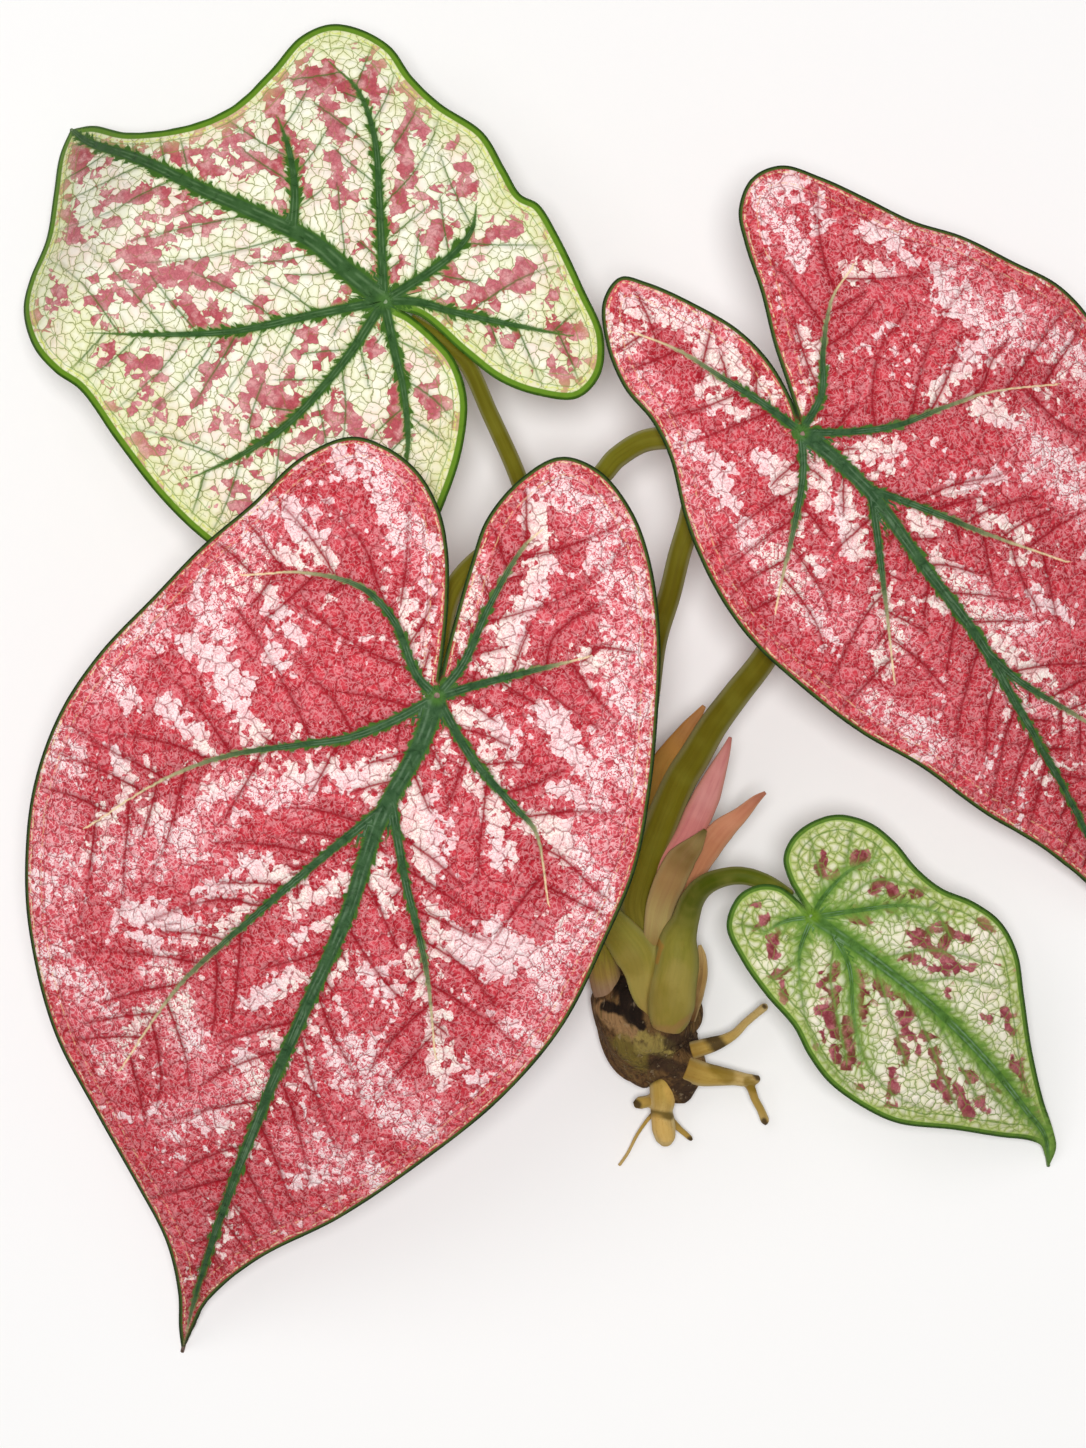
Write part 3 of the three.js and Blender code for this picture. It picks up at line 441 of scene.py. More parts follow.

# ---------- markings, read off the photo, in its pixels -----------------

# Blotches and tinted zones: (x0, y0, x1, y1, half width) of a line that is drawn round.
BLOTCHES_A = [
    (300, 75, 320, 80, 12), (325, 70, 345, 90, 9), (370, 65, 373, 96, 7), (268, 94, 286, 85, 5),
    (322, 108, 338, 130, 7), (340, 158, 342, 200, 7), (282, 130, 298, 150, 8), (270, 108, 282, 122, 6),
    (287, 172, 284, 216, 4), (300, 165, 303, 190, 4), (180, 130, 240, 112, 10), (190, 155, 215, 168, 8),
    (236, 138, 240, 165, 7), (250, 160, 272, 172, 6), (170, 152, 186, 160, 5), (85, 150, 80, 182, 8),
    (108, 142, 142, 150, 5), (72, 208, 76, 238, 6), (102, 208, 148, 188, 5), (165, 196, 186, 195, 4),
    (133, 250, 172, 238, 8), (130, 256, 152, 262, 6), (185, 229, 218, 219, 4), (150, 272, 198, 275, 10),
    (112, 276, 150, 284, 8), (200, 280, 232, 279, 5), (238, 263, 296, 255, 4), (90, 303, 135, 298, 6),
    (183, 306, 202, 320, 5), (214, 308, 222, 332, 4), (252, 300, 268, 312, 4), (60, 280, 62, 300, 4),
    (225, 348, 196, 402, 6), (240, 336, 230, 350, 5), (104, 366, 116, 352, 5), (134, 371, 152, 364, 5),
    (262, 368, 258, 412, 9), (276, 398, 302, 420, 13), (288, 382, 302, 364, 6), (320, 362, 326, 356, 5),
    (304, 336, 322, 325, 5), (330, 312, 345, 305, 4), (370, 328, 376, 352, 4), (325, 424, 331, 398, 7),
    (340, 398, 342, 412, 4), (272, 440, 288, 462, 4), (230, 452, 246, 460, 5), (222, 482, 238, 492, 5),
    (240, 500, 250, 508, 5), (398, 392, 398, 440, 6), (404, 368, 416, 388, 5), (420, 394, 432, 406, 4),
    (436, 380, 440, 400, 3), (372, 246, 378, 282, 4), (398, 128, 400, 160, 7), (410, 88, 418, 132, 7),
    (402, 166, 412, 182, 6), (398, 198, 392, 226, 5), (436, 198, 440, 226, 6), (464, 152, 466, 190, 6),
    (490, 138, 500, 155, 4), (392, 278, 400, 263, 4), (425, 240, 436, 250, 4), (488, 238, 512, 229, 5),
    (478, 299, 528, 276, 9), (525, 262, 532, 268, 4), (552, 327, 580, 333, 6), (550, 360, 572, 386, 5),
    (570, 352, 592, 366, 4), (492, 328, 512, 346, 4), (457, 394, 461, 418, 4), (432, 350, 440, 362, 4),
    (140, 440, 158, 452, 4), (100, 395, 112, 402, 4), (350, 430, 360, 436, 5), (300, 440, 312, 430, 5),
]
GREENISH_A = [
    (60, 290, 120, 420, 30), (130, 440, 210, 520, 34), (300, 40, 400, 50, 24), (410, 100, 490, 150, 30),
    (500, 200, 590, 250, 30), (560, 300, 590, 370, 36), (520, 370, 480, 340, 20),
    (65, 150, 62, 240, 16), (440, 420, 440, 500, 24), (110, 350, 170, 430, 30),
]
BLOTCHES_B = [
    (366, 455, 378, 490, 9), (380, 482, 398, 540, 10), (335, 448, 348, 470, 8), (405, 520, 430, 545, 9),
    (226, 508, 300, 512, 9), (292, 520, 330, 558, 11), (252, 540, 300, 562, 8), (262, 588, 300, 640, 8),
    (270, 650, 286, 666, 9), (200, 600, 226, 640, 11), (186, 640, 240, 682, 12),
    (222, 682, 262, 742, 10), (206, 575, 240, 590, 5), (115, 680, 130, 702, 9), (160, 700, 205, 742, 9),
    (112, 640, 140, 632, 5), (120, 750, 130, 790, 8), (100, 822, 122, 800, 6), (90, 850, 108, 838, 6),
    (150, 812, 188, 846, 12), (404, 600, 413, 660, 7), (430, 562, 428, 640, 5), (426, 650, 424, 690, 4),
    (472, 570, 460, 650, 4), (556, 482, 576, 500, 10), (532, 502, 540, 532, 12),
    (545, 562, 506, 640, 13), (514, 640, 500, 676, 12), (480, 662, 512, 652, 7),
    (590, 662, 634, 650, 12), (612, 690, 640, 716, 9), (600, 560, 640, 600, 8), (462, 712, 500, 726, 9),
    (496, 732, 510, 752, 9), (484, 748, 500, 790, 6), (444, 744, 444, 768, 6), (546, 712, 568, 742, 15),
    (572, 750, 592, 776, 10), (530, 820, 566, 828, 12), (560, 842, 588, 862, 12),
    (556, 790, 602, 804, 8), (418, 800, 430, 866, 16), (440, 850, 446, 830, 8), (492, 806, 504, 860, 8),
    (470, 775, 480, 792, 5), (286, 786, 328, 770, 11), (345, 780, 390, 770, 14),
    (368, 796, 380, 806, 8), (212, 792, 256, 784, 11), (205, 892, 262, 880, 9),
    (245, 862, 298, 882, 10), (130, 912, 186, 930, 12), (150, 942, 172, 970, 9),
    (213, 938, 248, 904, 7), (295, 908, 342, 880, 9), (374, 862, 386, 902, 11),
    (253, 1002, 292, 974, 11), (296, 940, 330, 920, 5), (240, 1058, 268, 1094, 13),
    (272, 1038, 288, 1056, 8), (178, 1000, 190, 1044, 12), (128, 1044, 140, 1012, 6),
    (302, 1052, 312, 1088, 5), (334, 982, 344, 958, 6), (368, 968, 386, 992, 10),
    (408, 955, 424, 992, 8), (434, 908, 442, 950, 8), (460, 942, 504, 962, 16),
    (498, 930, 542, 968, 13), (552, 950, 546, 1000, 9), (598, 876, 610, 902, 8),
    (440, 1008, 438, 1078, 7), (454, 1062, 482, 1086, 6), (228, 1156, 252, 1148, 5),
    (232, 1212, 222, 1244, 4), (340, 1056, 346, 1070, 5), (380, 1062, 388, 1078, 5),
    (200, 1120, 228, 1128, 6), (300, 1180, 340, 1176, 5), (36, 872, 42, 900, 5),
]
FROSTED_B = [
    (60, 740, 52, 960, 34), (96, 690, 150, 620, 34), (120, 860, 200, 830, 44), (80, 980, 120, 1060, 30),
    (612, 520, 632, 700, 34), (624, 720, 596, 870, 34), (590, 900, 510, 1050, 30),
    (250, 540, 220, 620, 34), (170, 1120, 260, 1080, 26), (350, 1060, 420, 1120, 34),
    (290, 1140, 380, 1180, 24), (480, 560, 470, 640, 14), (380, 450, 420, 560, 22),
    (160, 980, 200, 1060, 30), (230, 780, 300, 800, 20), (560, 480, 600, 540, 26),
]
BLOTCHES_C = [
    (764, 196, 792, 184, 11), (762, 194, 776, 216, 7), (786, 228, 796, 256, 11),
    (822, 198, 818, 232, 5), (866, 230, 896, 240, 10), (900, 250, 912, 262, 5), (850, 276, 884, 262, 7),
    (940, 272, 950, 302, 13), (962, 298, 988, 330, 12), (1012, 300, 1010, 342, 8),
    (986, 338, 932, 396, 9), (976, 352, 990, 362, 6), (804, 328, 814, 384, 5), (650, 308, 702, 326, 10),
    (704, 334, 716, 378, 11), (724, 350, 748, 386, 9), (700, 392, 744, 416, 7), (752, 380, 772, 396, 6),
    (684, 448, 730, 468, 7), (766, 462, 790, 488, 11), (808, 452, 824, 502, 8),
    (848, 455, 892, 450, 11), (868, 466, 888, 470, 6), (842, 498, 856, 550, 11),
    (910, 514, 928, 532, 9), (978, 404, 1014, 420, 8), (1040, 452, 1078, 470, 11),
    (1060, 488, 1082, 500, 7), (948, 490, 996, 480, 7), (984, 514, 1024, 536, 7),
    (934, 564, 978, 592, 9), (962, 610, 1012, 628, 11), (990, 640, 1010, 650, 6),
    (1030, 598, 1062, 612, 8), (1010, 656, 1048, 682, 7), (880, 590, 900, 642, 7),
    (760, 542, 792, 590, 9), (716, 470, 730, 500, 8), (740, 520, 752, 545, 7), (812, 560, 820, 572, 6),
    (808, 606, 832, 640, 8), (930, 600, 945, 610, 5), (1050, 700, 1078, 712, 6),
    (1060, 350, 1080, 365, 7), (880, 655, 888, 670, 5), (1036, 770, 1046, 788, 4),
    (625, 300, 640, 318, 6), (1010, 560, 1040, 566, 6),
]
FROSTED_C = [
    (640, 290, 730, 330, 20), (620, 340, 660, 400, 20), (680, 440, 700, 520, 24),
    (760, 540, 800, 600, 30), (960, 270, 1010, 340, 30), (1030, 440, 1086, 510, 30),
    (900, 220, 960, 250, 22), (960, 590, 1040, 640, 24), (820, 610, 900, 640, 26),
    (1040, 320, 1086, 380, 24), (760, 190, 800, 250, 18), (1000, 680, 1086, 720, 20),
    (870, 700, 960, 760, 20),
]
BLOTCHES_D = [
    (824, 855, 823, 864, 4), (819, 869, 822, 876, 3), (861, 853, 862, 864, 6), (836, 872, 831, 880, 3),
    (876, 884, 892, 890, 7), (909, 893, 917, 890, 4), (885, 908, 894, 908, 5), (848, 912, 868, 919, 5),
    (754, 908, 762, 908, 3), (756, 926, 766, 921, 4), (780, 932, 776, 944, 4), (773, 951, 776, 959, 4),
    (774, 973, 786, 975, 3), (785, 985, 785, 998, 4), (910, 935, 936, 948, 5), (922, 932, 948, 929, 4),
    (946, 932, 940, 948, 4), (957, 936, 966, 938, 4), (902, 955, 906, 957, 3), (914, 957, 924, 962, 4),
    (943, 959, 956, 964, 4), (957, 968, 968, 967, 4), (926, 966, 950, 972, 3), (982, 924, 991, 927, 3),
    (948, 990, 952, 998, 3), (982, 1015, 987, 1016, 4), (1003, 1010, 1006, 1016, 3),
    (1005, 1022, 1015, 1033, 3), (1014, 1059, 1022, 1076, 3), (1022, 1076, 1030, 1090, 3),
    (836, 962, 824, 986, 4), (822, 988, 828, 995, 3), (836, 988, 832, 1012, 4),
    (822, 1008, 831, 1020, 4), (820, 1028, 823, 1040, 3), (835, 1024, 835, 1040, 4),
    (849, 1020, 844, 1048, 4), (850, 1054, 847, 1066, 4), (833, 1050, 837, 1060, 3),
    (859, 970, 867, 1000, 4), (862, 1002, 864, 1018, 3), (878, 981, 887, 993, 5),
    (899, 997, 908, 1010, 3), (904, 1016, 912, 1036, 4), (914, 1036, 918, 1054, 3),
    (899, 1037, 904, 1063, 5), (926, 1032, 932, 1040, 3), (890, 1073, 888, 1096, 4),
    (884, 1102, 890, 1105, 3), (855, 1084, 862, 1090, 3), (934, 1054, 941, 1078, 4),
    (938, 1084, 946, 1106, 5), (954, 1084, 962, 1100, 4), (961, 1100, 969, 1114, 7),
    (966, 1066, 971, 1080, 3), (990, 1087, 996, 1092, 3), (982, 1100, 989, 1112, 4),
    (1034, 1110, 1039, 1122, 4), (1019, 1098, 1021, 1103, 2), (812, 1044, 815, 1049, 2),
]
GREENISH_D = [
    (800, 850, 880, 840, 34), (750, 900, 745, 940, 26), (790, 860, 800, 890, 22),
    (900, 880, 960, 910, 22), (770, 990, 830, 1080, 20), (860, 1110, 1000, 1128, 14),
    (1010, 960, 1030, 1080, 16), (1020, 1090, 1046, 1150, 30), (780, 930, 800, 940, 20),
]

# Thin side veins that stand out on a blade: points in the photo's pixels.
THREADS_A = [
    [(262, 212), (225, 220), (190, 227), (135, 240)],
    [(282, 238), (240, 250), (200, 258), (150, 263)],
    [(235, 337), (222, 360), (206, 385), (196, 404)],
    [(345, 252), (341, 220), (338, 188)],
    [(262, 385), (253, 410), (248, 430)],
    [(282, 428), (279, 450), (276, 480)],
]
THREADS_B = [
    [(310, 738), (297, 708), (277, 672), (258, 640), (240, 612)],
    [(228, 748), (207, 718), (183, 690), (156, 660)],
    [(352, 732), (338, 706), (316, 680), (300, 655)],
    [(392, 618), (378, 585), (366, 550), (345, 520), (318, 492)],
    [(401, 602), (406, 570), (408, 535), (410, 500)],
    [(546, 668), (552, 640), (572, 620), (600, 605)],
    [(585, 660), (600, 648), (632, 652)],
    [(572, 664), (590, 690), (616, 720)],
    [(540, 846), (565, 860), (590, 885), (602, 896)],
    [(508, 792), (530, 786), (560, 772)],
    [(262, 906), (225, 899), (190, 905), (150, 920)],
    [(322, 855), (270, 845), (215, 842)],
    [(182, 984), (145, 990), (108, 1000)],
    [(320, 1000), (335, 1038), (350, 1065), (362, 1100)],
    [(303, 1040), (312, 1080), (325, 1120), (342, 1164)],
    [(285, 1088), (298, 1128), (310, 1180)],
    [(262, 1128), (276, 1160), (292, 1204)],
    [(350, 930), (375, 968), (396, 994)],
    [(365, 880), (384, 918), (395, 944)],
    [(258, 1100), (205, 1110), (160, 1124)],
]
THREADS_C = [
    [(876, 428), (872, 400), (880, 350), (906, 312)],
    [(930, 412), (946, 380), (960, 340)],
    [(962, 404), (982, 385), (992, 360), (1006, 344)],
    [(822, 396), (806, 360), (794, 320)],
    [(700, 378), (706, 350), (712, 325)],
    [(912, 504), (950, 486), (1000, 476)],
]
THREADS_D = [
    [(852, 948), (853, 985), (856, 1020), (866, 1062), (890, 1092), (925, 1110)],
    [(876, 966), (886, 1000), (896, 1032), (906, 1064)],
    [(905, 986), (924, 1030), (944, 1078), (956, 1106)],
    [(930, 1002), (952, 1050), (976, 1096)],
    [(956, 1022), (976, 1060), (992, 1092), (1012, 1116)],
    [(836, 940), (830, 975), (838, 1020), (846, 1060)],
    [(800, 980), (806, 1020), (826, 1062), (856, 1094)],
    [(880, 958), (930, 950), (985, 962)],
    [(905, 985), (950, 978), (1000, 986)],
    [(840, 905), (875, 880), (930, 890)],
]

# mesh: spokes and rings of each half. spacing: of the side veins. seed: of the blade's draws.
# freckles: what a streak has to pass to be one, and how much less it needs in a tinted zone.
# softness: pixels in which a blotch's outline fades.
LEAF_A.update(mesh=(208, 72), spacing=9.0, seed=11, freckles=(0.62, 0.0), softness=14)
LEAF_A.update(blotches=BLOTCHES_A, tints=GREENISH_A, threads=THREADS_A)
LEAF_B.update(mesh=(247, 86), spacing=8.0, seed=23, freckles=(0.6, 0.4), softness=16)
LEAF_B.update(blotches=BLOTCHES_B, tints=FROSTED_B, threads=THREADS_B)
LEAF_C.update(mesh=(234, 84), spacing=8.0, seed=35, freckles=(0.6, 0.4), softness=16)
LEAF_C.update(blotches=BLOTCHES_C, tints=FROSTED_C, threads=THREADS_C)
LEAF_D.update(mesh=(182, 56), spacing=6.5, seed=47, freckles=(0.85, 0.0), softness=6)
LEAF_D.update(blotches=BLOTCHES_D, tints=GREENISH_D, threads=THREADS_D)


# ---------- curves, noise and meshes ----------

def curve(points, shares):
    """Points at the shares 0 to 1 of a centripetal Catmull-Rom curve."""
    points = np.asarray(points, float)
    spans = len(points) - 1
    place = np.clip(np.asarray(shares, float), 0, 1) * spans
    first = np.minimum(place.astype(int), spans - 1)
    t = (place - first)[..., None]
    ends = 2 * points[0] - points[1], 2 * points[-1] - points[-2]
    held = np.vstack([ends[0], points, ends[1]])
    p0, p1, p2, p3 = (held[first + k] for k in range(4))

    def root_of_gap(a, b):
        return np.maximum(np.linalg.norm(b - a, axis=-1, keepdims=True), 1e-6) ** 0.5

    d0, d1, d2 = root_of_gap(p0, p1), root_of_gap(p1, p2), root_of_gap(p2, p3)
    m1 = ((p1 - p0) / d0 - (p2 - p0) / (d0 + d1) + (p2 - p1) / d1) * d1
    m2 = ((p2 - p1) / d1 - (p3 - p1) / (d1 + d2) + (p3 - p2) / d2) * d1
    return p1 + t * m1 + t**2 * (-3 * p1 + 3 * p2 - 2 * m1 - m2) + t**3 * (2 * p1 - 2 * p2 + m1 + m2)


def distances_along(points):
    """How far each point of a line lies from its start, measured along it."""
    hops = np.linalg.norm(np.diff(points, axis=0), axis=1)
    return np.concatenate([[0], np.cumsum(hops)])


def slices(count):
    """Slices that cover all the rows of a table, some at a time."""
    return [slice(start, start + ROWS_AT_ONCE) for start in range(0, count, ROWS_AT_ONCE)]


def smooth_noise(x, y, seed):
    """Seeded noise from -1 to 1 whose features are about one unit wide."""
    cell_x, cell_y = np.floor(x).astype(np.int64), np.floor(y).astype(np.int64)
    fx, fy = x - cell_x, y - cell_y
    fx, fy = fx * fx * (3 - 2 * fx), fy * fy * (3 - 2 * fy)

    def corner(dx, dy):
        # Large odd factors scatter the bits of a cell's number, whose lowest 16 are the draw.
        mixed = (cell_x + dx) * 374761393 + (cell_y + dy) * 668265263 + seed * 1442695041
        mixed = (mixed ^ (mixed >> 13)) * 1274126177
        mixed ^= mixed >> 16
        return (mixed & 0xFFFF) / 32767.5 - 1

    low = corner(0, 0) * (1 - fx) + corner(1, 0) * fx
    high = corner(0, 1) * (1 - fx) + corner(1, 1) * fx
    return low * (1 - fy) + high * fy


def make_piece(node, points, faces, attributes, material, slot):
    """A smooth piece of the plant, which rides the root body and replaces its CAD node."""
    name = node + "_fine"
    mesh = bpy.data.meshes.new(name)
    points = np.array(points, float)
    points[:, 2] = np.maximum(points[:, 2], LOWEST)
    mesh.from_pydata((points * MM).tolist(), [], faces)
    mesh.validate()
    mesh.polygons.foreach_set("use_smooth", [True] * len(mesh.polygons))
    for key, values in attributes.items():
        values = np.asarray(values, np.float32)
        kind, field = ("FLOAT", "value") if values.ndim == 1 else ("FLOAT_VECTOR", "vector")
        layer = mesh.attributes.new(key, kind, "POINT")
        layer.data.foreach_set(field, values.ravel())
    mesh.materials.append(material)
    made = bpy.data.objects.new(name, mesh)
    bpy.context.scene.collection.objects.link(made)
    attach(made, "root")
    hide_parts(node)


def join(parts):
    """Several (points, faces, attributes) as one."""
    points, faces, attributes = [], [], {}
    offset = 0
    for some_points, some_faces, some_attributes in parts:
        points.append(some_points)
        faces += [tuple(corner + offset for corner in face) for face in some_faces]
        for key, values in some_attributes.items():
            attributes.setdefault(key, []).append(values)
        offset += len(some_points)
    merged = {key: np.concatenate(values) for key, values in attributes.items()}
    return np.concatenate(points), faces, merged


# ---------- places in the photo ----------

def photo_place(points):
    """Where points of the plant show in the photo, in its pixels."""
    focus = CAMERA_LENS / CAMERA_SENSOR * PHOTO_SIZE[1]
    scale = focus / (CAMERA_AT[2] - points[:, 2])
    x = PHOTO_SIZE[0] / 2 + (points[:, 0] - CAMERA_AT[0]) * scale
    y = PHOTO_SIZE[1] / 2 - (points[:, 1] - CAMERA_AT[1]) * scale
    return np.stack([x, y], axis=1)


def depth_in_marks(places, marks):
    """How deep places lie inside the nearest mark, in pixels, and its half width there."""
    deepest = np.full(len(places), -1e3)
    widths = np.ones(len(places))
    for x0, y0, x1, y1, half in marks:
        start, span = np.array([x0, y0]), np.array([x1 - x0, y1 - y0])
        share = np.clip(((places - start) @ span) / max(span @ span, 1), 0, 1)
        depth = half - np.linalg.norm(places - start - share[:, None] * span, axis=1)
        widths = np.where(depth > deepest, half, widths)
        deepest = np.maximum(deepest, depth)
    return deepest, widths


def painted(points, zones):
    """An attribute for each zone: 1 well inside its marks, 0 outside them."""
    places = photo_place(points)
    found = {}
    for name, (_, _, marks) in zones.items():
        depth, width = depth_in_marks(places, marks)
        found[name] = np.clip(0.5 + depth / width, 0, 1)
    return found


# ---------- stems ----------

def stem_frames(route, steps, start=0.0, end=1.0):
    """Centres, sideways and upward directions, half widths and distances along a route."""
    route = np.asarray(route, float)
    shares = np.linspace(start, end, steps + 1)
    centres = curve(route[:, :3], shares)
    ahead = curve(route[:, :3], shares + SHARE_STEP) - curve(route[:, :3], shares - SHARE_STEP)
    tangents = ahead / np.linalg.norm(ahead, axis=1, keepdims=True)
    across = np.cross([0, 0, 1], tangents)
    across /= np.linalg.norm(across, axis=1, keepdims=True)
    over = np.cross(tangents, across)
    widths = np.interp(shares * (len(route) - 1), np.arange(len(route)), route[:, 3])
    return centres, across, over, widths, distances_along(centres)


def share_at(route, distance):
    """The share of a route at a distance back from its end."""
    shares = np.linspace(0, 1, ROUTE_SAMPLES)
    travelled = distances_along(curve(np.asarray(route, float)[:, :3], shares))
    return float(np.interp(travelled[-1] - distance, travelled, shares))


def stem(route, sides=28, per_span=10, depth=1.0, start=0.0, end=1.0, profile=None):
    """A closed stem: depth flattens it, and profile(angle, share) scales its half width."""
    steps = max(3, round((len(route) - 1) * per_span * (end - start)))
    centres, across, over, widths, _ = stem_frames(route, steps, start, end)
    angles = np.linspace(0, 2 * np.pi, sides, endpoint=False)
    scale = np.ones((steps + 1, sides))
    if profile:
        scale = scale * profile(angles[None, :], np.linspace(start, end, steps + 1)[:, None])
    reach = widths[:, None] * scale
    points = (
        centres[:, None, :]
        + across[:, None, :] * (reach * np.cos(angles))[..., None]
        + over[:, None, :] * (reach * depth * np.sin(angles))[..., None]
    ).reshape(-1, 3)
    faces = []
    for step in range(steps):
        for side in range(sides):
            here, there = step * sides, (step + 1) * sides
            after = (side + 1) % sides
            faces.append((here + side, here + after, there + after, there + side))
    faces.append(tuple(reversed(range(sides))))
    faces.append(tuple(range(steps * sides, (steps + 1) * sides)))
    return points, faces


def skin(stems, voxel, smoothing):
    """Overlapping stems as one closed skin, softened where they meet."""
    points, faces, _ = join([(*some_stem, {}) for some_stem in stems])
    mesh = bpy.data.meshes.new("skin")
    mesh.from_pydata(points.tolist(), [], faces)
    body = bpy.data.objects.new("skin", mesh)
    bpy.context.scene.collection.objects.link(body)
    remesh = body.modifiers.new("remesh", "REMESH")
    remesh.mode = "VOXEL"
    remesh.voxel_size = voxel
    soften = body.modifiers.new("soften", "SMOOTH")
    soften.iterations = smoothing
    made = body.evaluated_get(bpy.context.evaluated_depsgraph_get()).to_mesh()
    points = np.empty(3 * len(made.vertices), np.float32)
    made.vertices.foreach_get("co", points)
    faces = [tuple(polygon.vertices) for polygon in made.polygons]
    bpy.data.objects.remove(body)
    bpy.data.meshes.remove(mesh)
    return points.reshape(-1, 3).astype(float), faces


def stem_attributes(points, routes):
    """For points on stems: mm across, over and along the nearest route, and how far up they face."""
    best = np.full(len(points), np.inf)
    grain = np.zeros((len(points), 3))
    facing = np.zeros(len(points))
    for route in routes:
        centres, across, over, widths, along = stem_frames(route, FRAMES_PER_POINT * len(route))
        for part in slices(len(points)):
            offset = points[part, None, :] - centres[None]
            distance = np.linalg.norm(offset, axis=2) - widths[None]
            nearest = distance.argmin(axis=1)
            rows = np.arange(len(nearest))
            gap = offset[rows, nearest]
            sideways = (gap * across[nearest]).sum(axis=1)
            upward = (gap * over[nearest]).sum(axis=1)
            closer = distance[rows, nearest] < best[part]
            best[part] = np.where(closer, distance[rows, nearest], best[part])
            found = np.stack([sideways, upward, along[nearest]], axis=1)
            grain[part] = np.where(closer[:, None], found, grain[part])
            up = 1 - np.minimum(1, np.abs(sideways) / widths[nearest])
            facing[part] = np.where(closer, up, facing[part])
    return {"grain": grain, "facing": facing}


# ---------- the plan of a blade ----------

def half_plan(leaf, side, spokes, rings):
    """[spoke, ring] plan points of one half of a blade, from its midrib to its margin."""
    half = leaf[side]
    ends = len(half["margin"]) - 1
    lobe_at, fan_to = half["lobe_at"] / ends, half["fan_to"] / ends
    spoke = np.linspace(0, SPOKES, spokes + 1)
    share = np.linspace(0, 1, rings + 1)[None, :, None]
    past_fan = np.maximum(0, spoke - FAN_SPOKES) / (SPOKES - FAN_SPOKES)
    in_fan = np.minimum(1, spoke / FAN_SPOKES)
    at_margin = lobe_at + (fan_to - lobe_at) * in_fan + (1 - fan_to) * past_fan
    root = curve(leaf["midrib"], past_fan)[:, None, :]
    rim = curve(half["margin"], at_margin)[:, None, :]
    points = root + (rim - root) * share

    ring = np.linspace(0, RINGS, rings + 1)
    slit_end = curve(half["margin"], 0.0)
    hub = curve(leaf["midrib"], 0.0)
    into_slit = hub + (slit_end - hub) * np.minimum(1, ring / SLIT_RING)[:, None]
    past_slit = curve(half["margin"], lobe_at * (ring - SLIT_RING) / (RINGS - SLIT_RING))
    edge = np.where((ring > SLIT_RING)[:, None], past_slit, into_slit)
    straight = hub + (curve(half["margin"], lobe_at) - hub) * share[0]
    weight = np.maximum(0, 1 - spoke / BENT_SPOKES)[:, None, None] ** 2
    return points + weight * (edge - straight)[None]


def weld(grids):
    """Plan points of both halves without doubles, and the quads between them, all facing up."""
    points = np.concatenate([grid.reshape(-1, 2) for grid in grids])
    _, first, index = np.unique(np.round(points, 3), axis=0, return_index=True, return_inverse=True)
    index = index.ravel()
    faces = []
    offset = 0
    for grid, flipped in zip(grids, (False, True)):
        spokes, rings = grid.shape[0], grid.shape[1]
        numbers = index[offset:offset + spokes * rings].reshape(spokes, rings)
        offset += spokes * rings
        corners = np.stack(
            [numbers[:-1, :-1], numbers[1:, :-1], numbers[1:, 1:], numbers[:-1, 1:]], axis=-1
        ).reshape(-1, 4)
        if flipped:
            corners = corners[:, ::-1]
        for quad in corners.tolist():
            kept = list(dict.fromkeys(quad))
            if len(kept) > 2:
                faces.append(tuple(kept))
    return points[first], faces


def margin_distance(plan, leaf):
    """Distance of plan points to the blade's margin."""
    best = np.full(len(plan), np.inf)
    for side in ("left", "right"):
        rim = curve(leaf[side]["margin"], np.linspace(0, 1, MARGIN_SAMPLES))
        for part in slices(len(plan)):
            offset = plan[part, None, :] - rim[None]
            distance = np.sqrt(np.einsum("ijk,ijk->ij", offset, offset).min(axis=1))
            best[part] = np.minimum(best[part], distance)
    return best


# ---------- the veins of a blade ----------

def directions(points):
    """Forward directions of length one along a line of close points."""
    forward = np.gradient(points, axis=0)
    return forward / np.linalg.norm(forward, axis=1, keepdims=True)


def vein_lines(leaf):
    """Each main vein as close samples: points, forward directions, half widths and distances."""
    lines = []
    for index, vein in enumerate([leaf["midrib"], *leaf["veins"]]):
        widths = leaf["midrib_width"] if index == 0 else leaf["vein_width"]
        shares = np.linspace(0, 1, VEIN_SAMPLES)
        points = curve(vein, shares)
        half = widths[1] + (widths[0] - widths[1]) * (1 - shares) ** VEIN_TAPER
        lines.append((points, directions(points), half, distances_along(points)))
    return lines


def nearest_vein(plan, lines):
    """For plan points: which main vein is nearest, the signed distance, half width, distance along."""
    best = np.full(len(plan), np.inf)
    found = {key: np.zeros(len(plan)) for key in ("vein", "signed", "half", "along")}
    for index, (points, forward, half, along) in enumerate(lines):
        for part in slices(len(plan)):
            offset = plan[part, None, :] - points[None]
            distance = np.einsum("ijk,ijk->ij", offset, offset)
            nearest = distance.argmin(axis=1)
            rows = np.arange(len(nearest))
            reach = np.sqrt(distance[rows, nearest])
            outside = reach - half[nearest]
            lead = forward[nearest]
            gap = offset[rows, nearest]
            side = np.sign(lead[:, 0] * gap[:, 1] - lead[:, 1] * gap[:, 0])
            closer = outside < best[part]
            best[part] = np.where(closer, outside, best[part])
            values = {
                "vein": np.full(len(nearest), index),
                "signed": reach * side,
                "half": half[nearest],
                "along": along[nearest],
            }
            for key, value in values.items():
                found[key][part] = np.where(closer, value, found[key][part])
    return found


def tree_of(points):
    """A search tree of plan points."""
    tree = KDTree(len(points))
    for index, (x, y) in enumerate(points):
        tree.insert((x, y, 0), index)
    tree.balance()
    return tree


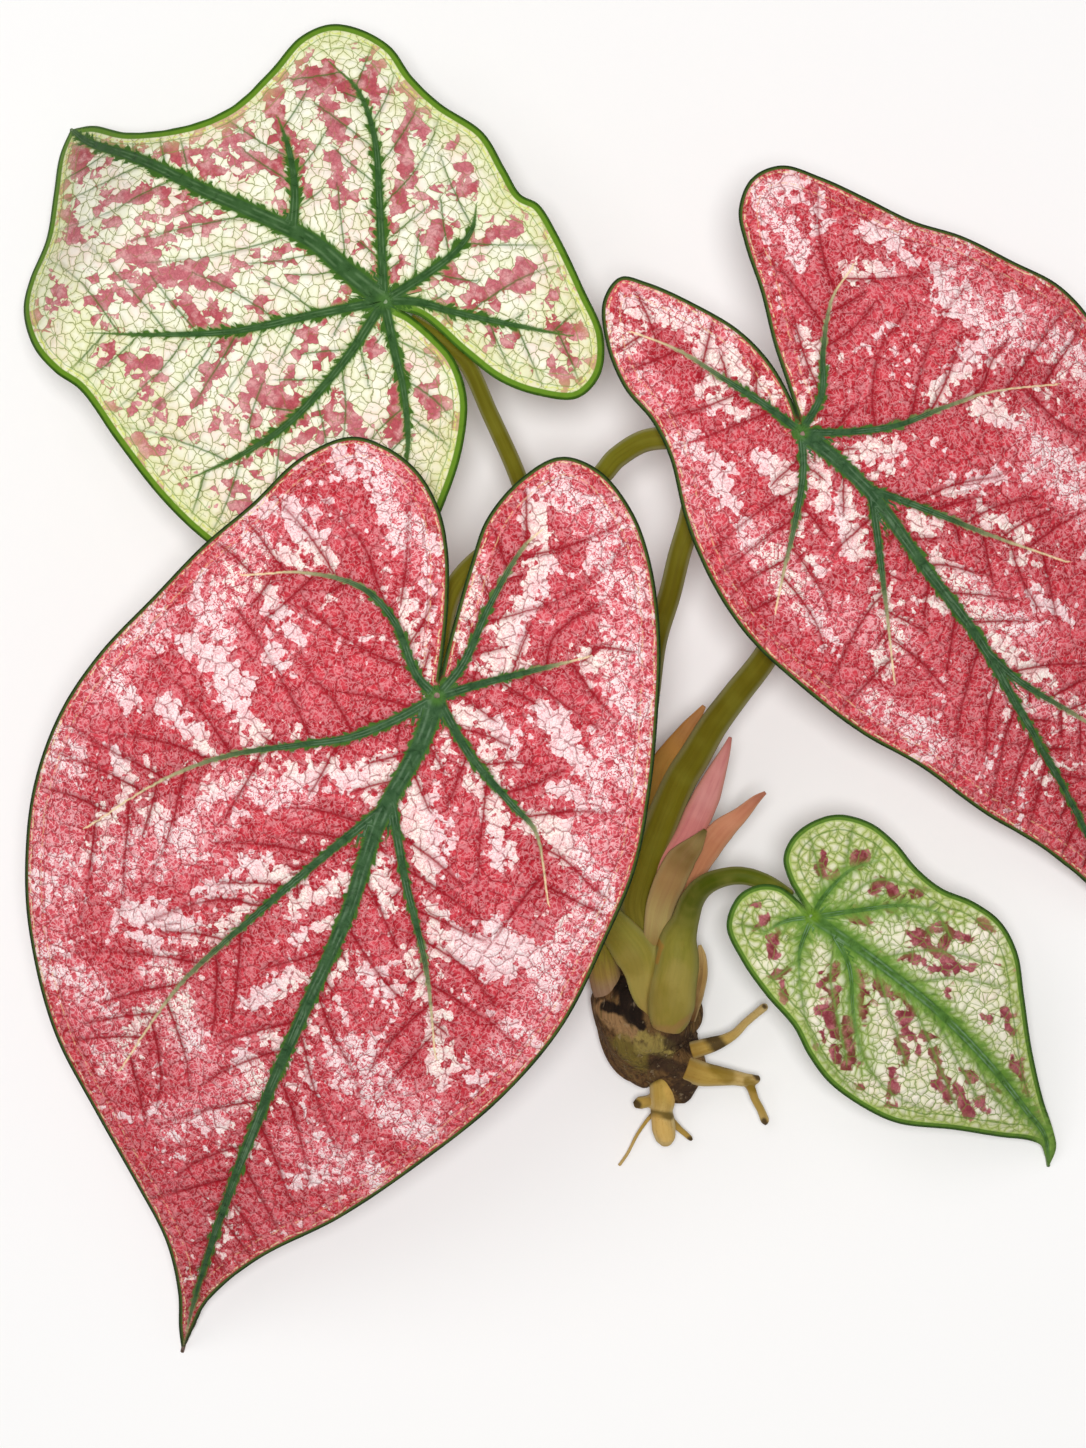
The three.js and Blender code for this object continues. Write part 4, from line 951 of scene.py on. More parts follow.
def side_vein_starts(lines, spacing, rng):
    """Where side veins leave the main veins: points, headings, main veins, and turns for each step."""
    heads, headings, parents, turns = [], [], [], []
    for index, (points, forward, _, along) in enumerate(lines):
        for side, first in SIDE_VEIN_FIRST.items():
            places = np.arange(spacing * first, along[-1] * SIDE_VEIN_LAST, spacing)
            places += rng.uniform(-SIDE_VEIN_JITTER, SIDE_VEIN_JITTER, len(places)) * spacing
            for place in places:
                at = int(np.clip(np.searchsorted(along, place), 0, len(along) - 1))
                angle = math.atan2(forward[at][1], forward[at][0])
                spread = rng.uniform(-SIDE_VEIN_SPREAD, SIDE_VEIN_SPREAD)
                angle += side * math.radians(SIDE_VEIN_ANGLE + spread)
                heads.append(points[at])
                headings.append(angle)
                parents.append(index)
                turns.append(-side * math.radians(SIDE_VEIN_BEND))
    return np.array(heads), np.array(headings), np.array(parents), np.array(turns)


def grow_side_veins(leaf, lines, placed, spacing, seed):
    """Side veins grow until they come near the margin, another vein or what another feeds."""
    rng = np.random.default_rng(seed)
    placed = tree_of(placed)
    heads, headings, parents, turns = side_vein_starts(lines, spacing, rng)
    alive = np.ones(len(heads), bool)
    wander = np.zeros(len(heads))
    owners = np.arange(len(heads))
    trail, leads, owned = [], [], []
    for step in range(SIDE_VEIN_STEPS):
        nudge = rng.uniform(-1, 1, len(heads)) * math.radians(SIDE_VEIN_WANDER)
        wander = WANDER_KEPT * wander + nudge
        headings = headings + turns + wander
        ahead = np.stack([np.cos(headings), np.sin(headings)], axis=1)
        heads = heads + ahead * SIDE_VEIN_STEP
        inside = margin_distance(heads, leaf) > MARGIN_VEIN
        settled = step < STEPS_BY_PARENT or (nearest_vein(heads, lines)["vein"] == parents)
        apart = np.array([placed.find((x, y, 0))[2] > CLEAR_OF_THREAD for x, y in heads])
        alive &= inside & settled & apart
        if not alive.any():
            break
        if step > STEPS_TOGETHER:
            others = np.concatenate(trail)
            foreign = np.concatenate(owned)[None, :] != owners[alive][:, None]
            reach = np.linalg.norm(heads[alive][:, None] - others[None], axis=2)
            alive[alive] = np.where(foreign, reach, np.inf).min(axis=1) > CLEAR_OF_VEIN
        trail.append(heads[alive])
        leads.append(ahead[alive])
        owned.append(owners[alive])
    return np.concatenate(trail), np.concatenate(leads)


def side_vein_distance(plan, trail, leads):
    """Signed distance of plan points to the nearest side vein."""
    tree = tree_of(trail)
    signed = np.empty(len(plan))
    for row, (x, y) in enumerate(plan):
        (near_x, near_y, _), index, distance = tree.find((x, y, 0))
        lead_x, lead_y = leads[index]
        turn = lead_x * (y - near_y) - lead_y * (x - near_x)
        signed[row] = math.copysign(distance, turn)
    return signed


# ---------- the heights of a blade ----------

def blade_height(leaf, plan, vein_gap):
    """The height formula of the part's source."""
    along, across = plan[:, 0], plan[:, 1]
    side_width, side_droop, lean = leaf["side"]
    lobe_length, lobe_droop = leaf["lobe"]
    wave_height, wave_length = leaf["wave"]
    outward = across / side_width
    height = leaf["hub"][2] - leaf["droop"] * (np.maximum(0, along) / leaf["length"]) ** leaf["bend"]
    height -= lobe_droop * (np.maximum(0, -along) / lobe_length) ** 2
    height -= side_droop * outward**2
    height += lean * outward
    phase = np.clip(across / WAVE_SHIFT, -1, 1)
    height += wave_height * np.sin(2 * np.pi * along / wave_length + phase) * outward**2
    height += VALLEY_DEPTH * (1 - np.exp(-vein_gap / VALLEY_WIDTH))
    if "curl" in leaf:
        start, drop, power = leaf["curl"]
        height -= drop * (np.maximum(0, along - start) / (leaf["length"] - start)) ** power
    return height


def quilted_height(leaf, plan, near, side_gap, edge):
    """The same with quilting between side veins, crumples, grooves and a rim that turns down."""
    gap = np.abs(near["signed"])
    height = blade_height(leaf, plan, gap)
    quilt = 1 - np.exp(-np.abs(side_gap) / QUILT_WIDTH)
    height += QUILT_DEPTH * quilt * np.clip(gap / QUILT_CLEAR, 0, 1)
    height += CRUMPLE_DEPTH * smooth_noise(*(plan / CRUMPLE_LENGTH).T, leaf["seed"])
    height -= GROOVE_DEPTH * np.exp(-gap / (near["half"] + GROOVE_SHOULDER))
    height -= RIM_DROP * np.exp(-edge / RIM_WIDTH)
    return height


def to_plant(leaf, plan, height):
    """Plan points and heights of a blade in the plant's frame."""
    heading = math.radians(leaf["heading"])
    x = leaf["hub"][0] + plan[:, 0] * math.cos(heading) - plan[:, 1] * math.sin(heading)
    y = leaf["hub"][1] + plan[:, 0] * math.sin(heading) + plan[:, 1] * math.cos(heading)
    return np.stack([x, y, height], axis=1)


def to_plan(leaf, places):
    """Plan points of a blade that show at places of the photo."""
    places = np.asarray(places, float)
    heading = math.radians(leaf["heading"])
    turn = np.array([[math.cos(heading), -math.sin(heading)], [math.sin(heading), math.cos(heading)]])
    plan = np.zeros_like(places)
    for _ in range(SETTLING_ROUNDS):
        height = blade_height(leaf, plan, np.full(len(plan), VALLEY_WIDTH))
        miss = places - photo_place(to_plant(leaf, plan, height))
        plan = plan + (miss * (1, -1) * SETTLING_STEP) @ turn
    return plan


def side_veins(leaf, lines):
    """All side veins of a leaf, grown and listed, as close points and directions."""
    placed = [curve(to_plan(leaf, thread), np.linspace(0, 1, THREAD_SAMPLES)) for thread in leaf["threads"]]
    placed_leads = np.concatenate([directions(points) for points in placed])
    placed = np.concatenate(placed)
    grown, grown_leads = grow_side_veins(leaf, lines, placed, leaf["spacing"], leaf["seed"])
    return np.concatenate([grown, placed]), np.concatenate([grown_leads, placed_leads])


# ---------- the mesh of a blade ----------

def open_edges(faces):
    """Directed edges that belong to one face only."""
    edges = {}
    for face in faces:
        for here, after in zip(face, face[1:] + face[:1]):
            edges[(here, after)] = True
    return [edge for edge in edges if (edge[1], edge[0]) not in edges]


def vertex_normals(points, faces):
    """Area-weighted normals of a mesh of triangles and quads."""
    corners = np.array([(*face, face[-1])[:4] for face in faces])
    facing = np.cross(
        points[corners[:, 2]] - points[corners[:, 0]], points[corners[:, 3]] - points[corners[:, 1]]
    )
    normals = np.zeros_like(points)
    for column in range(4):
        np.add.at(normals, corners[:, column], facing)
    return normals / np.maximum(np.linalg.norm(normals, axis=1, keepdims=True), 1e-12)


def sheet(middle, faces):
    """The closed sheet round a blade's middle surface."""
    count = len(middle)
    half_thickness = vertex_normals(middle, faces) * (BLADE_THICKNESS / 2)
    top = middle + half_thickness
    top[:, 2] = np.maximum(top[:, 2], LOWEST + BLADE_THICKNESS)
    closed = faces + [tuple(corner + count for corner in reversed(face)) for face in faces]
    closed += [(after, here, here + count, after + count) for here, after in open_edges(faces)]
    return np.concatenate([top, middle - half_thickness]), closed


def blade_marks(leaf, middle, flow, gap):
    """How deep points of a blade lie in its blotches, streaks included, and in its tinted zones."""
    seed = leaf["seed"]
    streaks = sum(
        share * smooth_noise(flow / length, gap / width, seed + 1 + index)
        for index, (share, length, width) in enumerate(STREAKS)
    )
    places = photo_place(middle)
    wide = (places / WAVER_LENGTH).T
    fine = (places / WAVER_LENGTH * FINE_WAVER_TIMES).T
    waver = np.stack([smooth_noise(*wide, seed + layer) for layer in (3, 4)], axis=1)
    fine_waver = np.stack([smooth_noise(*fine, seed + layer) for layer in (5, 6)], axis=1)
    moved = places + WAVER * waver + FINE_WAVER * fine_waver
    blotch, _ = depth_in_marks(moved, leaf["blotches"])
    soft, width = depth_in_marks(places, leaf["tints"])
    tint = np.clip(2 * soft / width, 0, 1)
    freckles = streaks - leaf["freckles"][0] + leaf["freckles"][1] * tint
    pale = np.maximum(np.clip(blotch / leaf["softness"] + MARK_SWELL, -1, 1), freckles)
    return pale, tint


def blade_attributes(leaf, plan, middle, near, side_gap, edge):
    """What the blade's material reads at each point of the middle surface."""
    gap = np.abs(near["signed"])
    slant = near["along"] - SLANT * gap
    shift = near["vein"] * VEIN_SHIFT + np.where(near["signed"] > 0, HALF_SHIFT, 0)
    pale, tint = blade_marks(leaf, middle, slant + shift, gap)
    flat = np.zeros(len(plan))
    return {
        "plan": np.column_stack([plan, flat]),
        "flow": np.column_stack([slant + shift, gap, flat]),
        "vein": near["signed"],
        "vein_near": gap,
        "vein_half": near["half"],
        "side_vein": side_gap,
        "side_near": np.abs(side_gap),
        "edge": edge,
        "pale": pale,
        "tint": tint,
    }


def under_vein(points, faces):
    """A rib or the stalk's end, with what colours it as a main vein's underside."""
    attributes = {key: np.full(len(points), float(value)) for key, value in UNDER_VEIN.items()}
    return points, faces, {**attributes, "plan": points, "flow": points}


def ribs(leaf, lines):
    """The ribs below a blade's main veins."""
    made = []
    for index, vein in enumerate([leaf["midrib"], *leaf["veins"]]):
        radii = MIDRIB_RADII if index == 0 else VEIN_RADII
        shares = np.linspace(0, 1, RIB_STEPS * len(vein))
        line = curve(vein, shares)
        radius = radii[0] + (radii[1] - radii[0]) * shares
        line_gap = np.abs(nearest_vein(line, lines)["signed"])
        raised = blade_height(leaf, line, line_gap) + RIB_TOP - RIB_SUNK - radius
        route = np.column_stack([to_plant(leaf, line, raised), radius])
        made.append(under_vein(*stem(route, sides=RIB_SIDES, per_span=1)))
    return made


def build_blade(leaf, petiole, material, slot):
    """A blade: its quilted sheet, the ribs under it and the end of its stalk."""
    plan, faces = weld([half_plan(leaf, side, *leaf["mesh"]) for side in ("left", "right")])
    lines = vein_lines(leaf)
    near = nearest_vein(plan, lines)
    edge = margin_distance(plan, leaf)
    side_gap = side_vein_distance(plan, *side_veins(leaf, lines))
    middle = to_plant(leaf, plan, quilted_height(leaf, plan, near, side_gap, edge))

    points, closed = sheet(middle, faces)
    attributes = blade_attributes(leaf, plan, middle, near, side_gap, edge)
    attributes = {key: np.concatenate([values, values]) for key, values in attributes.items()}
    attributes["under"] = np.repeat([0.0, 1.0], len(plan))
    boss = stem(petiole, BOSS_SIDES, BOSS_STEPS, start=share_at(petiole, BOSS_LENGTH))
    parts = [(points, closed, attributes), *ribs(leaf, lines), under_vein(*boss)]
    make_piece(leaf["name"], *join(parts), material, slot)


# ---------- materials ----------

def srgb(red, green, blue):
    """A display colour of 0 to 255 as the linear colour that a shader takes."""
    shares = np.array([red, green, blue]) / 255
    linear = np.where(shares <= 0.04045, shares / 12.92, ((shares + 0.055) / 1.055) ** 2.4)
    return (*linear.tolist(), 1.0)


class Shader:
    """A material's node tree, built by calls that take and give sockets or plain values."""

    WARP_DETAIL = 2

    def __init__(self, name, roughness, specular):
        self.material = bpy.data.materials.new(name)
        self.material.use_nodes = True
        self.tree = self.material.node_tree
        self.surface = self.tree.nodes["Principled BSDF"]
        self.surface.inputs["Roughness"].default_value = roughness
        self.surface.inputs["Specular IOR Level"].default_value = specular

    def feed(self, socket, value):
        if isinstance(value, bpy.types.NodeSocket):
            self.tree.links.new(value, socket)
        else:
            socket.default_value = value

    def attribute(self, name, output="Fac"):
        node = self.tree.nodes.new("ShaderNodeAttribute")
        node.attribute_name = name
        return node.outputs[output]

    def math(self, operation, *values):
        node = self.tree.nodes.new("ShaderNodeMath")
        node.operation = operation
        for socket, value in zip(node.inputs, values):
            self.feed(socket, value)
        return node.outputs[0]

    def times(self, product, *others):
        for other in others:
            product = self.math("MULTIPLY", product, other)
        return product

    def far_from(self, value, middle):
        return self.math("ABSOLUTE", self.math("SUBTRACT", value, middle))

    def swing(self, value, amount, base):
        """The base, moved by the amount times what the value is above or below one half."""
        return self.math("MULTIPLY_ADD", self.math("SUBTRACT", value, 0.5), amount, base)

    def vector(self, operation, *values, output="Vector"):
        node = self.tree.nodes.new("ShaderNodeVectorMath")
        node.operation = operation
        for socket, value in zip(node.inputs, values):
            self.feed(socket, value)
        return node.outputs[output]

    def mix(self, factor, low, high):
        node = self.tree.nodes.new("ShaderNodeMix")
        node.data_type = "RGBA"
        for place, value in ((0, factor), (6, low), (7, high)):
            self.feed(node.inputs[place], value)
        return node.outputs[2]

    def lay(self, colour, tone, *shares):
        """A tone laid over a colour, by the product of the shares."""
        return self.mix(self.times(*shares), colour, tone)

    def rise(self, value, low, high):
        """0 where the value is at or below low, 1 at or above high; low may be the larger."""
        node = self.tree.nodes.new("ShaderNodeMapRange")
        node.interpolation_type = "SMOOTHSTEP"
        if low > high:
            node.inputs["To Min"].default_value = 1
            node.inputs["To Max"].default_value = 0
            low, high = high, low
        node.inputs["From Min"].default_value = low
        node.inputs["From Max"].default_value = high
        self.feed(node.inputs["Value"], value)
        return node.outputs[0]

    def noise(self, vector, scale, detail, output="Fac"):
        node = self.tree.nodes.new("ShaderNodeTexNoise")
        self.feed(node.inputs["Vector"], vector)
        node.inputs["Scale"].default_value = scale
        node.inputs["Detail"].default_value = detail
        return node.outputs[output]

    def cells(self, vector, scale, feature, output):
        node = self.tree.nodes.new("ShaderNodeTexVoronoi")
        node.voronoi_dimensions = "2D"
        node.feature = feature
        self.feed(node.inputs["Vector"], vector)
        node.inputs["Scale"].default_value = scale
        return node.outputs[output]

    def cell_borders(self, vector, scale):
        return self.cells(vector, scale, "DISTANCE_TO_EDGE", "Distance")

    def stretch(self, vector, x, y, z):
        return self.vector("MULTIPLY", vector, (x, y, z))

    def warp(self, vector, scale, amount):
        moved = self.noise(vector, scale, self.WARP_DETAIL, "Color")
        moved = self.vector("SUBTRACT", moved, (0.5, 0.5, 0.5))
        return self.vector("ADD", vector, self.stretch(moved, amount, amount, 0))

    def bump(self, height, strength, distance):
        node = self.tree.nodes.new("ShaderNodeBump")
        node.inputs["Strength"].default_value = strength
        node.inputs["Distance"].default_value = distance
        self.feed(node.inputs["Height"], height)
        self.tree.links.new(node.outputs[0], self.surface.inputs["Normal"])

    def colour(self, value):
        self.feed(self.surface.inputs["Base Color"], value)
        return self.material


class BladeShader(Shader):
    """A blade's material: what its mesh says of each place, drawn as a look says."""

    # Noises over the blade: patterns for each millimetre, and detail.
    MOTTLE = (0.35, 4)
    BLUSH = (0.1, 2)
    SQUIGGLES = ((0.8, 1), (0.55, 1))
    DASHES = (0.9, 2)
    NET_GAPS = (0.9, 1)
    RIM_WANDER = (0.22, 2)
    BEADS = (1.1, 1)
    TEETH = (1.0, 3)
    HIGHLIGHT_STRIPES = (0.2, 2)
    # Warps of the cells and of the net: patterns for each millimetre, and millimetres.
    CELL_WARP = (0.45, 1.6)
    NET_WARP = (0.3, 2.2)
    ELSEWHERE = (40, 9, 0)  # millimetres from a place to where it reads a noise again
    FLOW_STRETCH = (0.7, 0.3, 1.0)
    # Limits between which a tone or height sets in: of noises, patterns and shares, and of
    # distances in millimetres.
    SETS_IN = {
        "deep": (0.6, 0.4), "blush": (0.46, 0.6), "other": (0.45, 0.62), "cell": (0.08, 0.4),
        "quilt": (0.12, 0.5), "off_vein": (3, 9), "pale_other": (0.45, 0.62),
        "beads": (0.42, 0.58), "teeth": (0.42, 0.7), "highlight_stripe": (0.22, 0.0),
        "patches": (0.4, 0.6), "lighter": (0.3, 0.7), "hub": (2.6, 0.8),
        "raised_cell": (0.0, 0.35), "raised_net": (0.0, 0.3), "raised_quilt": (0.0, 1.2),
    }
    SHARP = 0.01  # a squiggle or dash has its full tone below this
    BY_VEIN = 1  # millimetres from a main vein where its darker ground is full
    FULL_SIDE_VEIN = 2  # millimetres from a main vein up to which side veins have full strength
    BLOTCH_LINES = 0.25
    LACE_DETAIL = 2
    BROKEN_SOFT = 0.12
    RIM_WANDERS = 1.2  # millimetres
    BANDS = (("rim_width", 0.12, "rim"), ("lip_width", 0.15, "lip"))  # width, softness, tone
    THICK_SOFT = 0.5
    HIGHLIGHT_STRIPE_AT = 0.4  # share of the vein's half width
    CORE_SOFT = (0.1, -0.2)
    HUB_SHARE = 0.7
    CELL_HEIGHT = 0.35
    QUILT_HEIGHT = 1.2

    def __init__(self, name, look):
        super().__init__(name, roughness=0.72, specular=0.1)
        self.look = look
        self.plan = self.attribute("plan", "Vector")
        self.edge = self.attribute("edge")
        self.tint = self.attribute("tint")
        self.half = self.attribute("vein_half")
        self.gap = self.distance("vein", "vein_near", VEIN_REACH)
        self.side_gap = self.distance("side_vein", "side_near", SIDE_VEIN_REACH)
        self.mottle = self.noise(self.plan, *self.MOTTLE)
        self.elsewhere = self.vector("ADD", self.plan, self.ELSEWHERE)
        wavy = self.warp(self.plan, *self.CELL_WARP)
        self.cell = self.cells(wavy, look["cell_scale"], "F1", "Color")
        self.cell_edge = self.cell_borders(wavy, look["cell_scale"])
        self.cell_line = self.rise(self.cell_edge, look["cell_width"], 0.0)
        self.net_edge = self.cell_borders(self.warp(self.plan, *self.NET_WARP), look["net_scale"])

    def distance(self, signed, unsigned, reach):
        """A distance that is also right where the signed one changes sign between two lines."""
        beyond = self.math("SUBTRACT", self.attribute(unsigned), reach)
        return self.math("MAXIMUM", self.math("ABSOLUTE", self.attribute(signed)), beyond)

    def sets_in(self, value, name):
        return self.rise(value, *self.SETS_IN[name])

    def contour(self, vector, scale, detail):
        """How far a noise is from its middle value, which it has along wandering lines."""
        return self.far_from(self.noise(vector, scale, detail), 0.5)

    def ground(self):
        """The blade between its blotches: mottled, cell by cell, with fine squiggles, a net and painted
        highlights on its raised puffs.
        """
        look = self.look
        squiggles = self.contour(self.plan, *self.SQUIGGLES[0])
        squiggles = self.math("MINIMUM", squiggles, self.contour(self.elsewhere, *self.SQUIGGLES[1]))
        # Pale squiggles: partly the blade's own fine mosaic, partly painted glints on its tiny bumps.
        worm = self.rise(squiggles, look["worm_width"], self.SHARP)
        worm_share = self.math("MULTIPLY_ADD", self.tint, look["worm_tinted"], look["worm_pale_and_glint"])
        blush = self.sets_in(self.noise(self.plan, *self.BLUSH), "blush")
        near_vein = self.rise(self.gap, look["near_reach"], self.BY_VEIN)
        other = self.sets_in(self.cell, "other")
        # Painted highlight: the tops of the raised puffs between the net's creases are drawn in a lighter
        # tone.
        quilt = self.sets_in(self.net_edge, "quilt")

        deep = self.times(self.sets_in(self.mottle, "deep"), look["mottle"])
        colour = self.mix(deep, look["ground"], look["ground_deep"])
        colour = self.lay(colour, look["blush"], blush, look["blush_share"])
        colour = self.lay(colour, look["other"], other, look["cell_other"])
        colour = self.lay(colour, look["ground_deep"], near_vein, look["near_vein"])
        colour = self.lay(colour, look["tint"], self.tint, look["tint_share"])
        # Paler cell middles: partly the blade's own pale areoles, partly painted highlight on the raised
        # cells.
        colour = self.lay(colour, look["cell"], self.sets_in(self.cell_edge, "cell"), look["cell_pale_and_highlight"])
        colour = self.lay(colour, look["cell"], worm, worm_share)
        colour = self.lay(colour, look["net"], self.cell_line, look["cell_line"])
        return self.lay(colour, look["tint"], quilt, look["quilt_highlight"])

    def blotches(self):
        """The blotches: pale on a red blade, mauve on a cream one, with short fine lines."""
        look = self.look
        dash = self.rise(self.contour(self.elsewhere, *self.DASHES), look["worm_width"], self.SHARP)
        dash_share = self.math("MULTIPLY_ADD", self.tint, look["dash_tinted"], look["pale_worm"])
        other = self.sets_in(self.mottle, "pale_other")
        colour = self.mix(self.sets_in(self.gap, "off_vein"), look["pale_inner"], look["pale"])
        colour = self.lay(colour, look["pale_other"], other, look["pale_vary"])
        colour = self.lay(colour, look["pale_line"], dash, dash_share)
        return self.lay(colour, look["pale_line"], self.cell_line, self.BLOTCH_LINES)

    def in_blotch(self):
        """1 inside a blotch and 0 outside, with an edge that cells and noises make ragged."""
        look = self.look
        depth = self.swing(self.cell, look["scatter"], self.attribute("pale"))
        depth = self.swing(self.mottle, look["drift"], depth)
        depth = self.swing(self.noise(self.plan, look["lace_scale"], self.LACE_DETAIL), look["lace"], depth)
        blur = look["pale_blur"]
        return self.rise(depth, look["pale_shift"] - blur, look["pale_shift"] + blur)

    def side_veins(self, colour):
        """A broken net of small veins, and side veins with a soft shade beside each."""
        look = self.look
        gaps = self.noise(self.plan, *self.NET_GAPS)
        broken = self.rise(gaps, look["net_broken"], look["net_broken"] + self.BROKEN_SOFT)
        net = self.rise(self.net_edge, look["net_width"], 0.0)
        colour = self.lay(colour, look["net"], net, look["net_line"], broken)
        fade = self.rise(self.gap, look["side_reach"], self.FULL_SIDE_VEIN)
        fade = self.math("MULTIPLY_ADD", fade, 1 - look["side_rest"], look["side_rest"])
        for width, share in (("shade_width", "side_shade"), ("side_width", "side_line")):
            line = self.rise(self.side_gap, look[width], 0.0)
            colour = self.lay(colour, look["side"], line, look[share], fade)
        return colour

    def rim(self, colour):
        """A tinted stretch, thin beaded lines, a band and a dark lip along the margin."""
        look = self.look
        inward = self.swing(self.mottle, look["rim_wander"], self.edge)
        tinted = self.rise(inward, look["rim_reach"], 0.0)
        colour = self.lay(colour, look["rim_shade"], tinted, look["rim_tint"])
        wander = self.noise(self.plan, *self.RIM_WANDER)
        near_rim = self.math("MULTIPLY_ADD", wander, self.RIM_WANDERS, self.edge)
        beads = self.sets_in(self.noise(self.plan, *self.BEADS), "beads")
        for distance, width, strength, beaded, tone in look["rim_lines"]:
            line = self.rise(self.far_from(near_rim, distance), width, 0.0)
            colour = self.lay(colour, tone, line, strength, *([beads] if beaded else []))
        for width, soft, tone in self.BANDS:
            band = self.rise(self.edge, look[width] + soft, look[width] - soft)
            colour = self.mix(band, colour, look[tone])
        return colour

    def main_veins(self, colour):
        """Green main veins with teeth, a halo and painted highlight stripes, and thin ends without them."""
        look = self.look
        flow = self.stretch(self.attribute("flow", "Vector"), *self.FLOW_STRETCH)
        teeth = self.sets_in(self.noise(flow, *self.TEETH), "teeth")
        thick = self.rise(self.half, look["thin_half"], look["thin_half"] + self.THICK_SOFT)
        reach = self.times(teeth, look["fringe"], thick)
        swell = self.math("SUBTRACT", self.half, THIN_VEIN)
        drawn = self.math("MULTIPLY_ADD", swell, thick, THIN_VEIN)
        inside = self.math("SUBTRACT", self.math("ADD", drawn, reach), self.gap)
        halo = self.rise(inside, -look["halo_width"], 0.0)
        colour = self.lay(colour, look["halo"], halo, look["halo_share"], thick)
        body = self.rise(inside, -look["feather"], look["feather"])
        colour = self.mix(body, colour, self.mix(thick, look["vein_thin"], look["vein_edge"]))

        core = self.math("DIVIDE", self.gap, self.half)
        # Painted highlight: a grey-green stripe to each side of a main vein's core, where its ridge catches
        # the light.
        highlight_stripe = self.sets_in(self.far_from(core, self.HIGHLIGHT_STRIPE_AT), "highlight_stripe")
        patches = self.sets_in(self.noise(self.plan, *self.HIGHLIGHT_STRIPES), "patches")
        green = self.mix(self.sets_in(self.mottle, "lighter"), look["vein_dark"], look["vein"])
        green = self.lay(green, look["vein_highlight"], highlight_stripe, patches, look["highlight_stripe"])
        in_core = self.rise(core, *(look["core"] + soft for soft in self.CORE_SOFT))
        colour = self.lay(colour, green, in_core, thick)
        from_hub = self.vector("LENGTH", self.plan, output="Value")
        return self.lay(colour, look["hub"], self.sets_in(from_hub, "hub"), self.HUB_SHARE)

    def relief(self):
        """Raised cells between the side veins and the net."""
        height = self.times(self.sets_in(self.cell_edge, "raised_cell"), self.CELL_HEIGHT)
        height = self.math("ADD", self.sets_in(self.net_edge, "raised_net"), height)
        quilt = self.sets_in(self.side_gap, "raised_quilt")
        return self.math("MULTIPLY_ADD", quilt, self.QUILT_HEIGHT, height)


def blade_material(name, look):
    """Ground, blotches, side veins, rim and main veins, one over another, and the underside."""
    s = BladeShader(name, look)
    colour = s.mix(s.in_blotch(), s.ground(), s.blotches())
    colour = s.main_veins(s.rim(s.side_veins(colour)))
    below = s.mix(UNDERSIDE, colour, look["under"])
    s.bump(s.relief(), strength=0.7, distance=BUMP_HEIGHT)
    return s.colour(s.mix(s.attribute("under"), colour, below))


# Noises on a stem: patterns for each millimetre, detail, and the limits of what they draw.
STREAK_STRETCH = (1.3, 1.3, 0.06)
STREAK_NOISE, STREAK_LIMITS = (1.0, 3), (0.38, 0.68)
CLOUD_NOISE, CLOUD_LIMITS = (0.12, 2), (0.4, 0.7)
SPECK_NOISE, SPECK_LIMITS = (2.2, 2), (0.6, 0.72)
ZONE_NOISE, ZONE_LIMITS = (0.55, 3), (0.05, 1.0)
ZONE_RAGGED = 0.8
BLOOM_AND_SHEEN_LIMITS = (0.42, 0.05)  # of how far up a place faces
SPECK_HEIGHT = 0.4
STEM_DEFAULTS = {"roughness": 0.55, "bloom_and_sheen": 0.45, "specks": 0.25, "relief": 0.3}


def stem_material(name, look, zones=None):
    """Colour bands along a stem, a waxy bloom and a painted sheen at its sides, fine lengthwise streaks and
    specks.
    """
    look = {**STEM_DEFAULTS, "bloom_and_sheen_tone": look["cloud_tone"], **look}
    s = Shader(name, roughness=look["roughness"], specular=0.07)
    grain = s.attribute("grain", "Vector")
    parts = s.tree.nodes.new("ShaderNodeSeparateXYZ")
    s.feed(parts.inputs[0], grain)
    along = parts.outputs["Z"]
    colour = look["bands"][0][1]
    for (low, _), (high, tone) in zip(look["bands"], look["bands"][1:]):
        colour = s.mix(s.rise(along, low, high), colour, tone)
    streak = s.noise(s.stretch(grain, *STREAK_STRETCH), *STREAK_NOISE)
    colour = s.lay(colour, look["streak_tone"], s.rise(streak, *STREAK_LIMITS), look["streak"])
    cloud = s.rise(s.noise(grain, *CLOUD_NOISE), *CLOUD_LIMITS)
    colour = s.lay(colour, look["cloud_tone"], cloud, look["cloud"])
    # Paler tone at the sides of a stem: partly its waxy bloom, partly painted sheen, the light that the
    # sides catch at grazing angles.
    at_sides = s.rise(s.attribute("facing"), *BLOOM_AND_SHEEN_LIMITS)
    colour = s.lay(colour, look["bloom_and_sheen_tone"], at_sides, look["bloom_and_sheen"])
    for zone, (tone, strength, _) in (zones or {}).items():
        ragged = s.swing(s.noise(grain, *ZONE_NOISE), ZONE_RAGGED, s.attribute(zone))
        colour = s.lay(colour, tone, s.rise(ragged, *ZONE_LIMITS), strength)
    specks = s.noise(grain, *SPECK_NOISE)
    colour = s.lay(colour, look["streak_tone"], s.rise(specks, *SPECK_LIMITS), look["specks"])
    s.bump(s.math("ADD", streak, s.times(specks, SPECK_HEIGHT)), look["relief"], BUMP_HEIGHT)
    return s.colour(colour)


CRUMB_NOISE = (0.9, 5)
FLAKE_STRETCH, FLAKE_NOISE = (1.0, 1.0, 0.4), (0.4, 4)
PATCH_NOISE, PATCH_LIMITS = (0.5, 5), (0.15, 0.85)
PATCH_RAGGED = 2.2
CORK_TONES, CORK_LIMITS = (srgb(68, 46, 26), srgb(108, 80, 48)), (0.35, 0.65)
# Tones over the cork: tone, limits of the noise that places it, and strength.
FLAKE = (srgb(124, 98, 56), (0.5, 0.7), 0.5)
HOLLOW = (srgb(40, 28, 20), (0.56, 0.7), 0.4)
SCALE = (srgb(170, 148, 116), (0.4, 0.3), 0.35)


